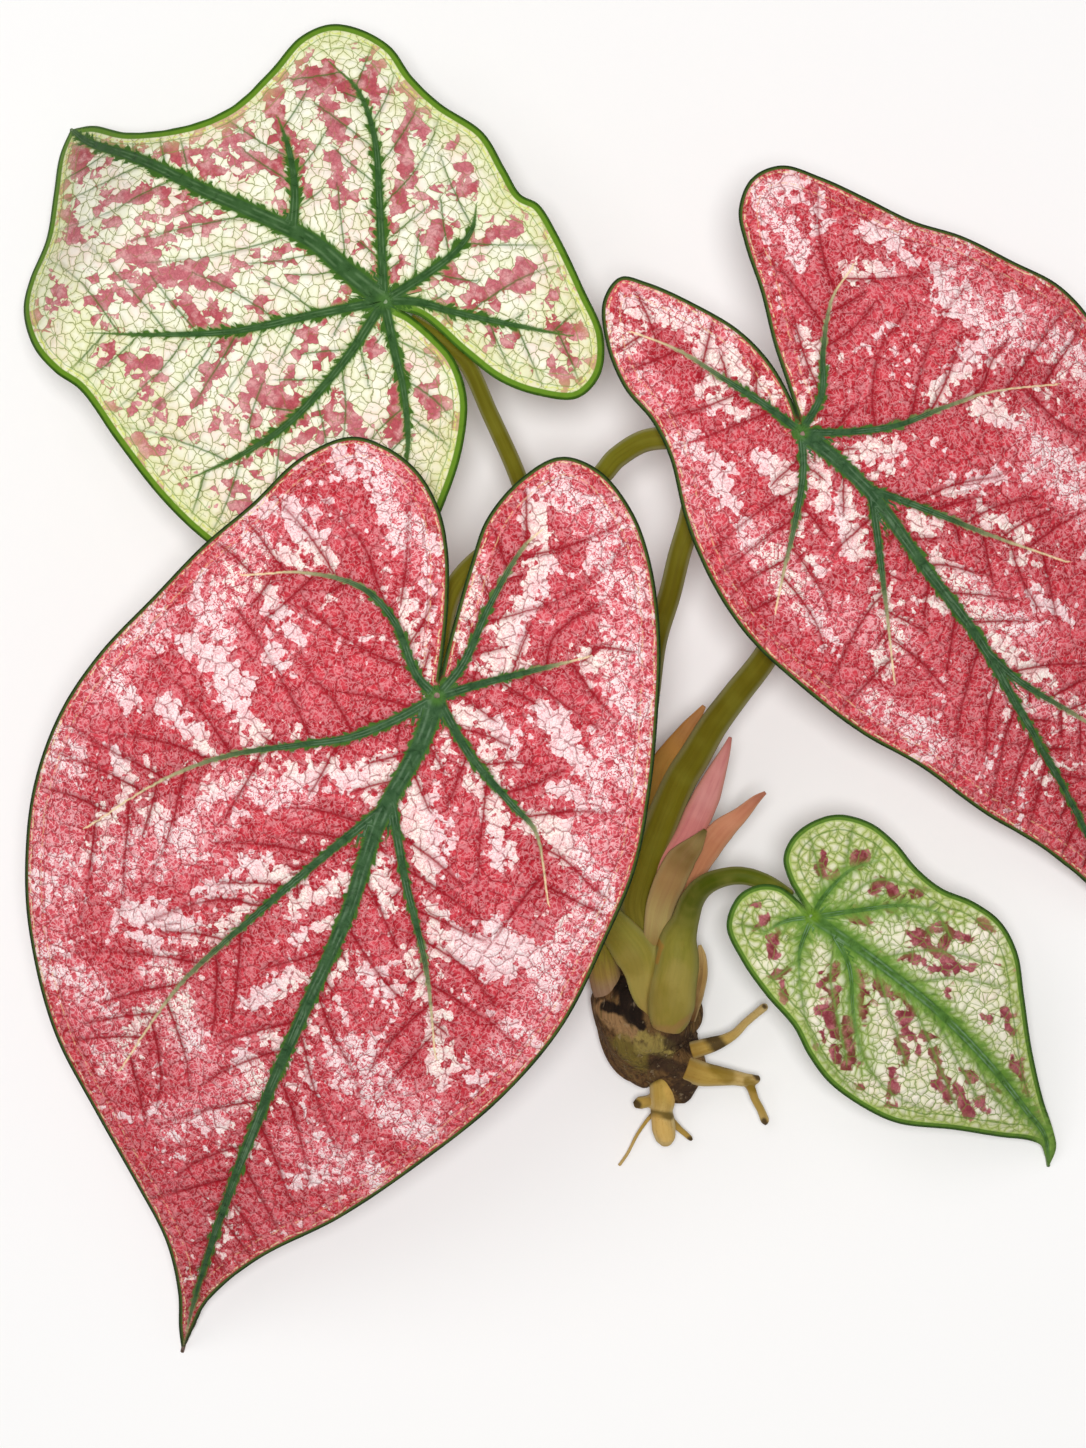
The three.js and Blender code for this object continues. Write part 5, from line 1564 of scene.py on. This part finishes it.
def tuber_material():
    """Dark corky skin with patches of other tones and of painted shade, hollows and rough scales."""
    s = Shader("tuber_skin", roughness=0.9, specular=0.15)
    place = s.attribute("grain", "Vector")
    crumbs = s.noise(place, *CRUMB_NOISE)
    flakes = s.noise(s.stretch(place, *FLAKE_STRETCH), *FLAKE_NOISE)

    def over(colour, noise, tone, limits, strength):
        return s.lay(colour, tone, s.rise(noise, *limits), strength)

    colour = s.mix(s.rise(crumbs, *CORK_LIMITS), *CORK_TONES)
    colour = over(colour, flakes, *FLAKE)
    for zone, (tone, strength, _) in TUBER_ZONES.items():
        ragged = s.swing(s.noise(place, *PATCH_NOISE), PATCH_RAGGED, s.attribute(zone))
        colour = over(colour, ragged, tone, PATCH_LIMITS, strength)
    colour = over(colour, crumbs, *HOLLOW)
    colour = over(colour, crumbs, *SCALE)
    s.bump(s.math("ADD", crumbs, flakes), strength=0.9, distance=TUBER_BUMP_HEIGHT)
    return s.colour(colour)


PAPER_NOISE = (3.0, 3)
PAPER_TONES = (srgb(243, 242, 242), srgb(245, 244, 242))


def floor_material():
    """Pale paper with hardly any tone of its own."""
    s = Shader("floor", roughness=0.85, specular=0.1)
    texture = s.tree.nodes.new("ShaderNodeTexCoord")
    soft = s.noise(texture.outputs["Object"], *PAPER_NOISE)
    return s.colour(s.mix(soft, *PAPER_TONES))


# ---------- looks of the blades ----------
# cell and net are two patterns of fine veins, and worm is a third, of squiggles. Their scales are
# patterns for each millimetre, and their widths are in each pattern's own units. The blotches'
# tones are called pale, as on the red blades. The side, rim, lip and vein entries colour the
# side veins, the margin and the main veins, with widths and reaches in millimetres. The others
# are shares and the limits of noises.

RED_LOOK = {
    "cell_scale": 0.85, "net_scale": 0.3, "lace_scale": 0.5, "cell_width": 0.1, "mottle": 0.8,
    "ground": srgb(206, 54, 66), "ground_deep": srgb(164, 22, 36), "near_vein": 0.5, "near_reach": 9,
    "blush": srgb(226, 98, 112), "blush_share": 0.25, "cell_other": 0.35, "other": srgb(196, 48, 60),
    "tint": srgb(226, 104, 116), "tint_share": 0.4, "cell": srgb(247, 184, 188), "cell_pale_and_highlight": 0.12,
    "worm_width": 0.05, "worm_pale_and_glint": 0.38, "worm_tinted": 0.45, "cell_line": 0.25, "net": srgb(140, 18, 30),
    "quilt_highlight": 0.2,
    "pale_inner": srgb(252, 240, 230), "pale": srgb(251, 230, 230), "pale_line": srgb(204, 76, 90),
    "pale_other": srgb(246, 196, 200), "pale_vary": 0.5, "pale_worm": 0.45, "pale_blur": 0.1,
    "pale_shift": 0.12, "dash_tinted": 0.5,
    "scatter": 0.5, "drift": 1.9, "lace": 2.6, "net_width": 0.09, "net_line": 0.7, "net_broken": 0.35,
    "side": srgb(146, 16, 30), "side_width": 0.45, "side_line": 0.9, "side_shade": 0.55,
    "shade_width": 1.4, "side_reach": 22, "side_rest": 0.3,
    "rim_lines": [
        (1.9, 0.26, 0.8, True, srgb(242, 222, 170)), (4.4, 0.28, 0.65, True, srgb(232, 186, 140)),
        (5.1, 0.22, 0.6, False, srgb(140, 52, 44)),
    ],
    "rim_reach": 3.0, "rim_tint": 0.2, "rim_wander": 2, "rim_shade": srgb(150, 90, 60),
    "rim": srgb(74, 90, 34), "rim_width": 0.85, "lip": srgb(38, 58, 26), "lip_width": 0.45,
    "fringe": 0.7, "feather": 0.22, "halo": srgb(110, 34, 30), "halo_width": 0.9, "halo_share": 0.5,
    "vein_thin": srgb(238, 214, 168), "vein_edge": srgb(66, 102, 38), "thin_half": 0.3, "core": 0.9,
    "vein_dark": srgb(44, 76, 44), "vein": srgb(62, 94, 58), "vein_highlight": srgb(108, 134, 104),
    "highlight_stripe": 0.55, "hub": srgb(76, 118, 44), "under": srgb(205, 150, 150),
}
CREAM_LOOK = {
    "cell_scale": 0.44, "net_scale": 0.2, "lace_scale": 0.7, "cell_width": 0.08, "mottle": 0.35,
    "ground": srgb(246, 242, 222), "ground_deep": srgb(222, 224, 178), "near_vein": 0.3, "near_reach": 5,
    "blush": srgb(240, 208, 198), "blush_share": 0.55, "cell_other": 0.5, "other": srgb(226, 230, 184),
    "tint": srgb(220, 222, 158), "tint_share": 0.5, "cell": srgb(252, 250, 240), "cell_pale_and_highlight": 0.35,
    "worm_width": 0.1, "worm_pale_and_glint": 0.0, "worm_tinted": 0.0, "cell_line": 0.85, "net": srgb(112, 122, 42),
    "quilt_highlight": 0.0,
    "pale_inner": srgb(184, 84, 92), "pale": srgb(198, 112, 120), "pale_line": srgb(140, 58, 66),
    "pale_other": srgb(226, 170, 168), "pale_vary": 0.75, "pale_worm": 0.3, "pale_blur": 0.06,
    "pale_shift": 0.0, "dash_tinted": 0.0,
    "scatter": 1.5, "drift": 1.2, "lace": 0.6, "net_width": 0.04, "net_line": 0.5, "net_broken": 0.4,
    "side": srgb(66, 104, 34), "side_width": 0.42, "side_line": 0.85, "side_shade": 0.2,
    "shade_width": 1.3, "side_reach": 24, "side_rest": 0.3,
    "rim_lines": [
        (2.9, 0.4, 0.85, True, srgb(214, 222, 110)), (3.5, 0.2, 0.7, False, srgb(96, 140, 40)),
        (6.2, 0.22, 0.6, False, srgb(112, 150, 60)),
    ],
    "rim_reach": 7, "rim_tint": 0.5, "rim_wander": 6, "rim_shade": srgb(206, 214, 136),
    "rim": srgb(98, 136, 34), "rim_width": 1.6, "lip": srgb(58, 94, 22), "lip_width": 0.6,
    "fringe": 1.15, "feather": 0.25, "halo": srgb(120, 156, 70), "halo_width": 0.8, "halo_share": 0.5,
    "vein_thin": srgb(84, 118, 44), "vein_edge": srgb(62, 100, 32), "thin_half": 0.35, "core": 0.85,
    "vein_dark": srgb(46, 80, 38), "vein": srgb(60, 94, 50), "vein_highlight": srgb(104, 134, 92),
    "highlight_stripe": 0.5, "hub": srgb(72, 112, 48), "under": srgb(190, 205, 170),
}
GREEN_LOOK = {
    **CREAM_LOOK,
    "cell_scale": 0.5, "net_scale": 0.3, "cell_width": 0.11, "mottle": 0.3, "net": srgb(116, 140, 62),
    "ground": srgb(242, 232, 212), "ground_deep": srgb(150, 172, 84), "near_vein": 0.85, "near_reach": 7,
    "blush": srgb(228, 198, 170), "blush_share": 0.3, "cell_other": 0.4, "other": srgb(212, 214, 154),
    "tint": srgb(172, 182, 104), "tint_share": 0.85, "cell": srgb(248, 242, 226), "cell_pale_and_highlight": 0.5,
    "pale_inner": srgb(122, 50, 52), "pale": srgb(148, 66, 76), "pale_line": srgb(100, 34, 44),
    "pale_other": srgb(188, 112, 116), "pale_vary": 0.8, "scatter": 1.0, "drift": 1.0, "pale_blur": 0.2,
    "net_width": 0.08, "net_line": 0.6, "net_broken": 0.25,
    "side": srgb(106, 136, 58), "side_width": 0.55, "side_line": 0.8, "side_shade": 0.4,
    "shade_width": 1.7,
    "rim_lines": [(1.9, 0.3, 0.8, False, srgb(160, 184, 90)), (3.9, 0.32, 0.75, False, srgb(92, 124, 48))],
    "rim_reach": 5, "rim_tint": 0.5, "rim_wander": 4, "rim_shade": srgb(162, 178, 96),
    "rim": srgb(88, 122, 40), "rim_width": 1.2, "lip": srgb(52, 82, 28), "lip_width": 0.55,
    "fringe": 1.2, "feather": 0.9, "halo": srgb(122, 154, 68), "halo_width": 2.4, "halo_share": 0.75,
    "vein_edge": srgb(96, 134, 50), "vein_thin": srgb(124, 156, 80), "vein_dark": srgb(66, 104, 38),
    "vein": srgb(84, 122, 56), "core": 0.75, "highlight_stripe": 0.6, "vein_highlight": srgb(122, 150, 120),
    "hub": srgb(104, 140, 30),
}

# Pale tone at the stalks' sides: waxy bloom and painted sheen.
OLIVE_BLOOM_AND_SHEEN = srgb(158, 156, 108)
STALK_LOOK = {
    "bands": [
        (0, srgb(126, 116, 44)), (30, srgb(108, 100, 20)), (80, srgb(98, 90, 14)),
        (140, srgb(108, 104, 24)),
    ],
    "streak": 0.4, "streak_tone": srgb(84, 74, 8), "cloud": 0.35, "cloud_tone": srgb(122, 120, 40),
    "bloom_and_sheen": 0.6, "bloom_and_sheen_tone": OLIVE_BLOOM_AND_SHEEN, "specks": 0.1,
}
STALK_D_LOOK = {
    "bands": [
        (0, srgb(153, 128, 66)), (8, srgb(146, 132, 56)), (20, srgb(132, 126, 50)),
        (32, srgb(84, 90, 20)), (46, srgb(68, 80, 8)), (64, srgb(92, 100, 20)),
    ],
    "streak": 0.25, "streak_tone": srgb(100, 98, 30), "cloud": 0.3, "cloud_tone": srgb(152, 142, 74),
    "bloom_and_sheen": 0.5, "bloom_and_sheen_tone": srgb(146, 144, 88), "specks": 0.08,
}
CATAPHYLL_LOOK = {
    "bands": [
        (0, srgb(136, 112, 58)), (8, srgb(164, 146, 90)), (18, srgb(150, 118, 72)),
        (26, srgb(112, 88, 44)), (34, srgb(78, 70, 20)),
    ],
    "streak": 0.3, "streak_tone": srgb(136, 98, 66), "cloud": 0.3, "cloud_tone": srgb(176, 154, 100),
    "bloom_and_sheen": 0.45, "bloom_and_sheen_tone": srgb(160, 140, 96), "specks": 0.08,
}
PINK_LOOK = {
    "bands": [
        (0, srgb(176, 114, 92)), (16, srgb(196, 120, 114)), (36, srgb(196, 130, 124)),
        (46, srgb(164, 96, 84)),
    ],
    "streak": 0.35, "streak_tone": srgb(160, 80, 84), "cloud": 0.4, "cloud_tone": srgb(212, 156, 148),
    "bloom_and_sheen": 0.5, "bloom_and_sheen_tone": srgb(200, 142, 120), "specks": 0.08,
}
SALMON_LOOK = {
    "bands": [
        (0, srgb(172, 124, 84)), (18, srgb(184, 124, 88)), (30, srgb(186, 124, 92)),
        (40, srgb(150, 92, 72)),
    ],
    "streak": 0.35, "streak_tone": srgb(164, 92, 68), "cloud": 0.3, "cloud_tone": srgb(206, 150, 118),
    "bloom_and_sheen": 0.5, "bloom_and_sheen_tone": srgb(206, 158, 122), "specks": 0.08,
}
SHEATH_LOOK = {
    "bands": [
        (0, srgb(96, 64, 40)), (12, srgb(120, 100, 36)), (24, srgb(150, 112, 50)),
        (40, srgb(162, 114, 72)),
    ],
    "streak": 0.35, "streak_tone": srgb(136, 84, 34), "cloud": 0.3, "cloud_tone": srgb(184, 128, 62),
}
STRIP_LOOK = {
    "bands": [(0, srgb(92, 64, 36)), (10, srgb(150, 118, 68)), (20, srgb(176, 146, 92))],
    "streak": 0.6, "streak_tone": srgb(86, 56, 30), "cloud": 0.3, "cloud_tone": srgb(196, 170, 120),
    "roughness": 0.8, "relief": 0.6,
}
STUMP_LOOK = {
    "bands": [
        (0, srgb(84, 70, 36)), (6, srgb(146, 118, 92)), (10, srgb(150, 126, 60)),
        (14, srgb(140, 128, 44)),
    ],
    "streak": 0.4, "streak_tone": srgb(108, 78, 44), "cloud": 0.35, "cloud_tone": srgb(160, 126, 98),
    "roughness": 0.65,
}
ROOT_LOOK = {
    "bands": [
        (0, srgb(150, 120, 56)), (6, srgb(178, 148, 74)), (14, srgb(192, 164, 104)),
        (26, srgb(206, 184, 136)),
    ],
    "streak": 0.35, "streak_tone": srgb(140, 104, 40), "cloud": 0.45, "cloud_tone": srgb(170, 138, 60),
    "bloom_and_sheen": 0.4, "bloom_and_sheen_tone": srgb(210, 192, 146), "roughness": 0.65, "specks": 0.3, "relief": 0.5,
}

# Zones of colour: tone, strength and marks in the photo's pixels, read off it.
SHEATH_ZONES = {
    "cream": (srgb(160, 142, 78), 0.45, [(628, 962, 652, 1000, 13), (678, 975, 682, 1004, 14)]),
    "olive": (srgb(118, 104, 34), 0.5, [(612, 942, 632, 965, 12), (664, 1000, 672, 1016, 16)]),
    "notch": (srgb(168, 122, 54), 0.7, [
        (634, 918, 650, 932, 3), (650, 932, 661, 946, 3), (661, 946, 657, 962, 2),
    ]),
    "red": (srgb(150, 106, 70), 0.45, [(652, 1030, 672, 1031, 5), (672, 1030, 692, 1016, 3)]),
}
TUBER_ZONES = {
    "tan": (srgb(156, 122, 82), 0.85, [(600, 1008, 612, 1020, 7), (612, 1020, 630, 1034, 9)]),
    "moss": (srgb(116, 102, 44), 0.75, [(620, 1042, 642, 1062, 9)]),
    "cream": (srgb(154, 136, 72), 0.85, [(642, 1042, 664, 1048, 10)]),
    "bronze": (srgb(130, 100, 58), 0.7, [(700, 1064, 712, 1080, 12), (694, 1072, 698, 1082, 6)]),
    # Painted shade: near-black where the tuber's top meets the stump and the stalks.
    "hollow": (srgb(24, 16, 12), 0.97, [
        (622, 984, 633, 1014, 9), (606, 1006, 620, 1010, 5), (636, 1020, 642, 1026, 4),
    ]),
    "dark": (srgb(54, 38, 28), 0.85, [
        (674, 1040, 700, 1046, 9), (655, 1062, 682, 1072, 9), (684, 1086, 694, 1102, 12),
    ]),
}
ROOT_ZONES = {
    "ring": (srgb(88, 70, 22), 0.85, [(650, 1113, 670, 1116, 4), (650, 1080, 664, 1074, 5)]),
    "tip": (srgb(58, 44, 28), 0.9, [
        (634, 1102, 638, 1105, 4), (757, 1074, 759, 1077, 4), (764, 1006, 765, 1007, 2),
        (764, 1121, 765, 1123, 3), (690, 1139, 692, 1140, 3), (712, 1038, 720, 1048, 8),
    ]),
    "band": (srgb(120, 96, 20), 0.7, [(716, 1066, 728, 1076, 8), (748, 1082, 754, 1088, 5)]),
    "gold": (srgb(206, 166, 88), 0.6, [(655, 1122, 668, 1136, 8), (670, 1090, 674, 1100, 6)]),
}


# ---------- the plant ----------

def stalk(route):
    """A leaf stalk up to where the blade's own stretch of it starts."""
    return stem(route, end=share_at(route, BOSS_LENGTH + JOINT_GAP))


def lumps(angle, share):
    """How much wider or narrower the tuber is than its route says, and its finer knobs."""
    first = np.sin(LUMPS_ROUND[0] * angle + LUMPS_ALONG[0] * share)
    second = np.cos(LUMPS_ROUND[1] * angle + LUMPS_ALONG[1] * share)
    ring_x, ring_y = KNOB_RING[0] * np.cos(angle), KNOB_RING[1] * np.sin(angle)
    knobs = smooth_noise(ring_x + KNOB_START, KNOBS_ALONG * share + ring_y, KNOB_SEED)
    return 1 + TUBER_LUMP * first * second + KNOB * knobs


def build_stem_piece(node, points, faces, routes, material, slot, zones=None):
    """A piece of stems, with the attributes that its material reads."""
    attributes = {**stem_attributes(points, routes), **painted(points, zones or {})}
    make_piece(node, points, faces, attributes, material, slot)


red = blade_material("blade_red", RED_LOOK)
for leaf, petiole, material, slot in (
    (LEAF_A, PETIOLE_A, blade_material("blade_cream", CREAM_LOOK), "blade_cream"),
    (LEAF_B, PETIOLE_B, red, "blade_red"),
    (LEAF_C, PETIOLE_C, red, "blade_red"),
    (LEAF_D, PETIOLE_D, blade_material("blade_green", GREEN_LOOK), "blade_green"),
):
    build_blade(leaf, petiole, material, slot)

olive = stem_material("stalk_olive", STALK_LOOK)
for node, route in (("petiole_a", PETIOLE_A), ("petiole_b", PETIOLE_B), ("petiole_c", PETIOLE_C)):
    build_stem_piece(node, *stalk(route), [route], olive, "stalk")

sheathed = skin([stalk(PETIOLE_D), stem(LIP_D, depth=LIP_DEPTH)], SHEATH_VOXEL, SHEATH_SMOOTHING)
green_stalk = stem_material("stalk_green", STALK_D_LOOK, SHEATH_ZONES)
build_stem_piece("petiole_d", *sheathed, [PETIOLE_D, LIP_D], green_stalk, "stalk", SHEATH_ZONES)

for node, route, depth, look, slot in (
    ("cataphyll", CATAPHYLL, CATAPHYLL_DEPTH, CATAPHYLL_LOOK, "cataphyll"),
    ("spear_pink", PINK_SPEAR, SPEAR_DEPTH, PINK_LOOK, "spear_pink"),
    ("spear_salmon", SALMON_SPEAR, SPEAR_DEPTH, SALMON_LOOK, "spear_salmon"),
    ("sheath_c", SHEATH_C, SHEATH_DEPTH, SHEATH_LOOK, "sheath"),
    ("dry_strip", DRY_STRIP, DRY_STRIP_DEPTH, STRIP_LOOK, "sheath"),
    ("stump", STUMP, 1.0, STUMP_LOOK, "cataphyll"),
):
    build_stem_piece(node, *stem(route, depth=depth), [route], stem_material(node, look), slot)

root_skin = stem_material("root_skin", ROOT_LOOK, ROOT_ZONES)
for node, routes in (
    ("root_1", [ROOT_1]),
    ("root_2", [ROOT_2, ROOT_2_TIP]),
    ("root_3", [ROOT_3, ROOT_3_STUB, ROOT_3_BRANCH, ROOT_3_HAIR]),
):
    stems = [stem(route, ROOT_SIDES, ROOT_STEPS) for route in routes]
    root = skin(stems, ROOT_VOXEL, ROOT_SMOOTHING)
    build_stem_piece(node, *root, routes, root_skin, "root", ROOT_ZONES)

tuber = stem(TUBER, TUBER_SIDES, TUBER_STEPS, TUBER_DEPTH, profile=lumps)
build_stem_piece("tuber", *tuber, [TUBER], tuber_material(), "tuber", TUBER_ZONES)

# ---------- the stage ----------

bpy.ops.mesh.primitive_plane_add(size=FLOOR_SIZE * MM)
floor = bpy.context.object
floor.name = "floor"
floor.data.materials.append(floor_material())

scene = bpy.context.scene
scene.view_settings.view_transform = "Standard"

world = bpy.data.worlds.new("studio")
world.use_nodes = True
world.node_tree.nodes["Background"].inputs["Color"].default_value = (1.0, 1.0, 1.0, 1)
world.node_tree.nodes["Background"].inputs["Strength"].default_value = WORLD_LIGHT
scene.world = world


def lamp(name, place, size, watts):
    """A round soft lamp that points at the middle of the plant."""
    data = bpy.data.lights.new(name, "AREA")
    data.shape = "DISK"
    data.size = size
    data.energy = watts
    made = bpy.data.objects.new(name, data)
    made.location = place
    made.rotation_euler = (Vector(PLANT_MIDDLE) - made.location).to_track_quat("-Z", "Y").to_euler()
    scene.collection.objects.link(made)


for name, (place, size, watts) in LAMPS.items():
    lamp(name, place, size, watts)

camera_data = bpy.data.cameras.new("camera")
camera_data.lens = CAMERA_LENS
camera_data.sensor_width = CAMERA_SENSOR
camera = bpy.data.objects.new("camera", camera_data)
camera.location = [value * MM for value in CAMERA_AT]
scene.collection.objects.link(camera)
scene.camera = camera
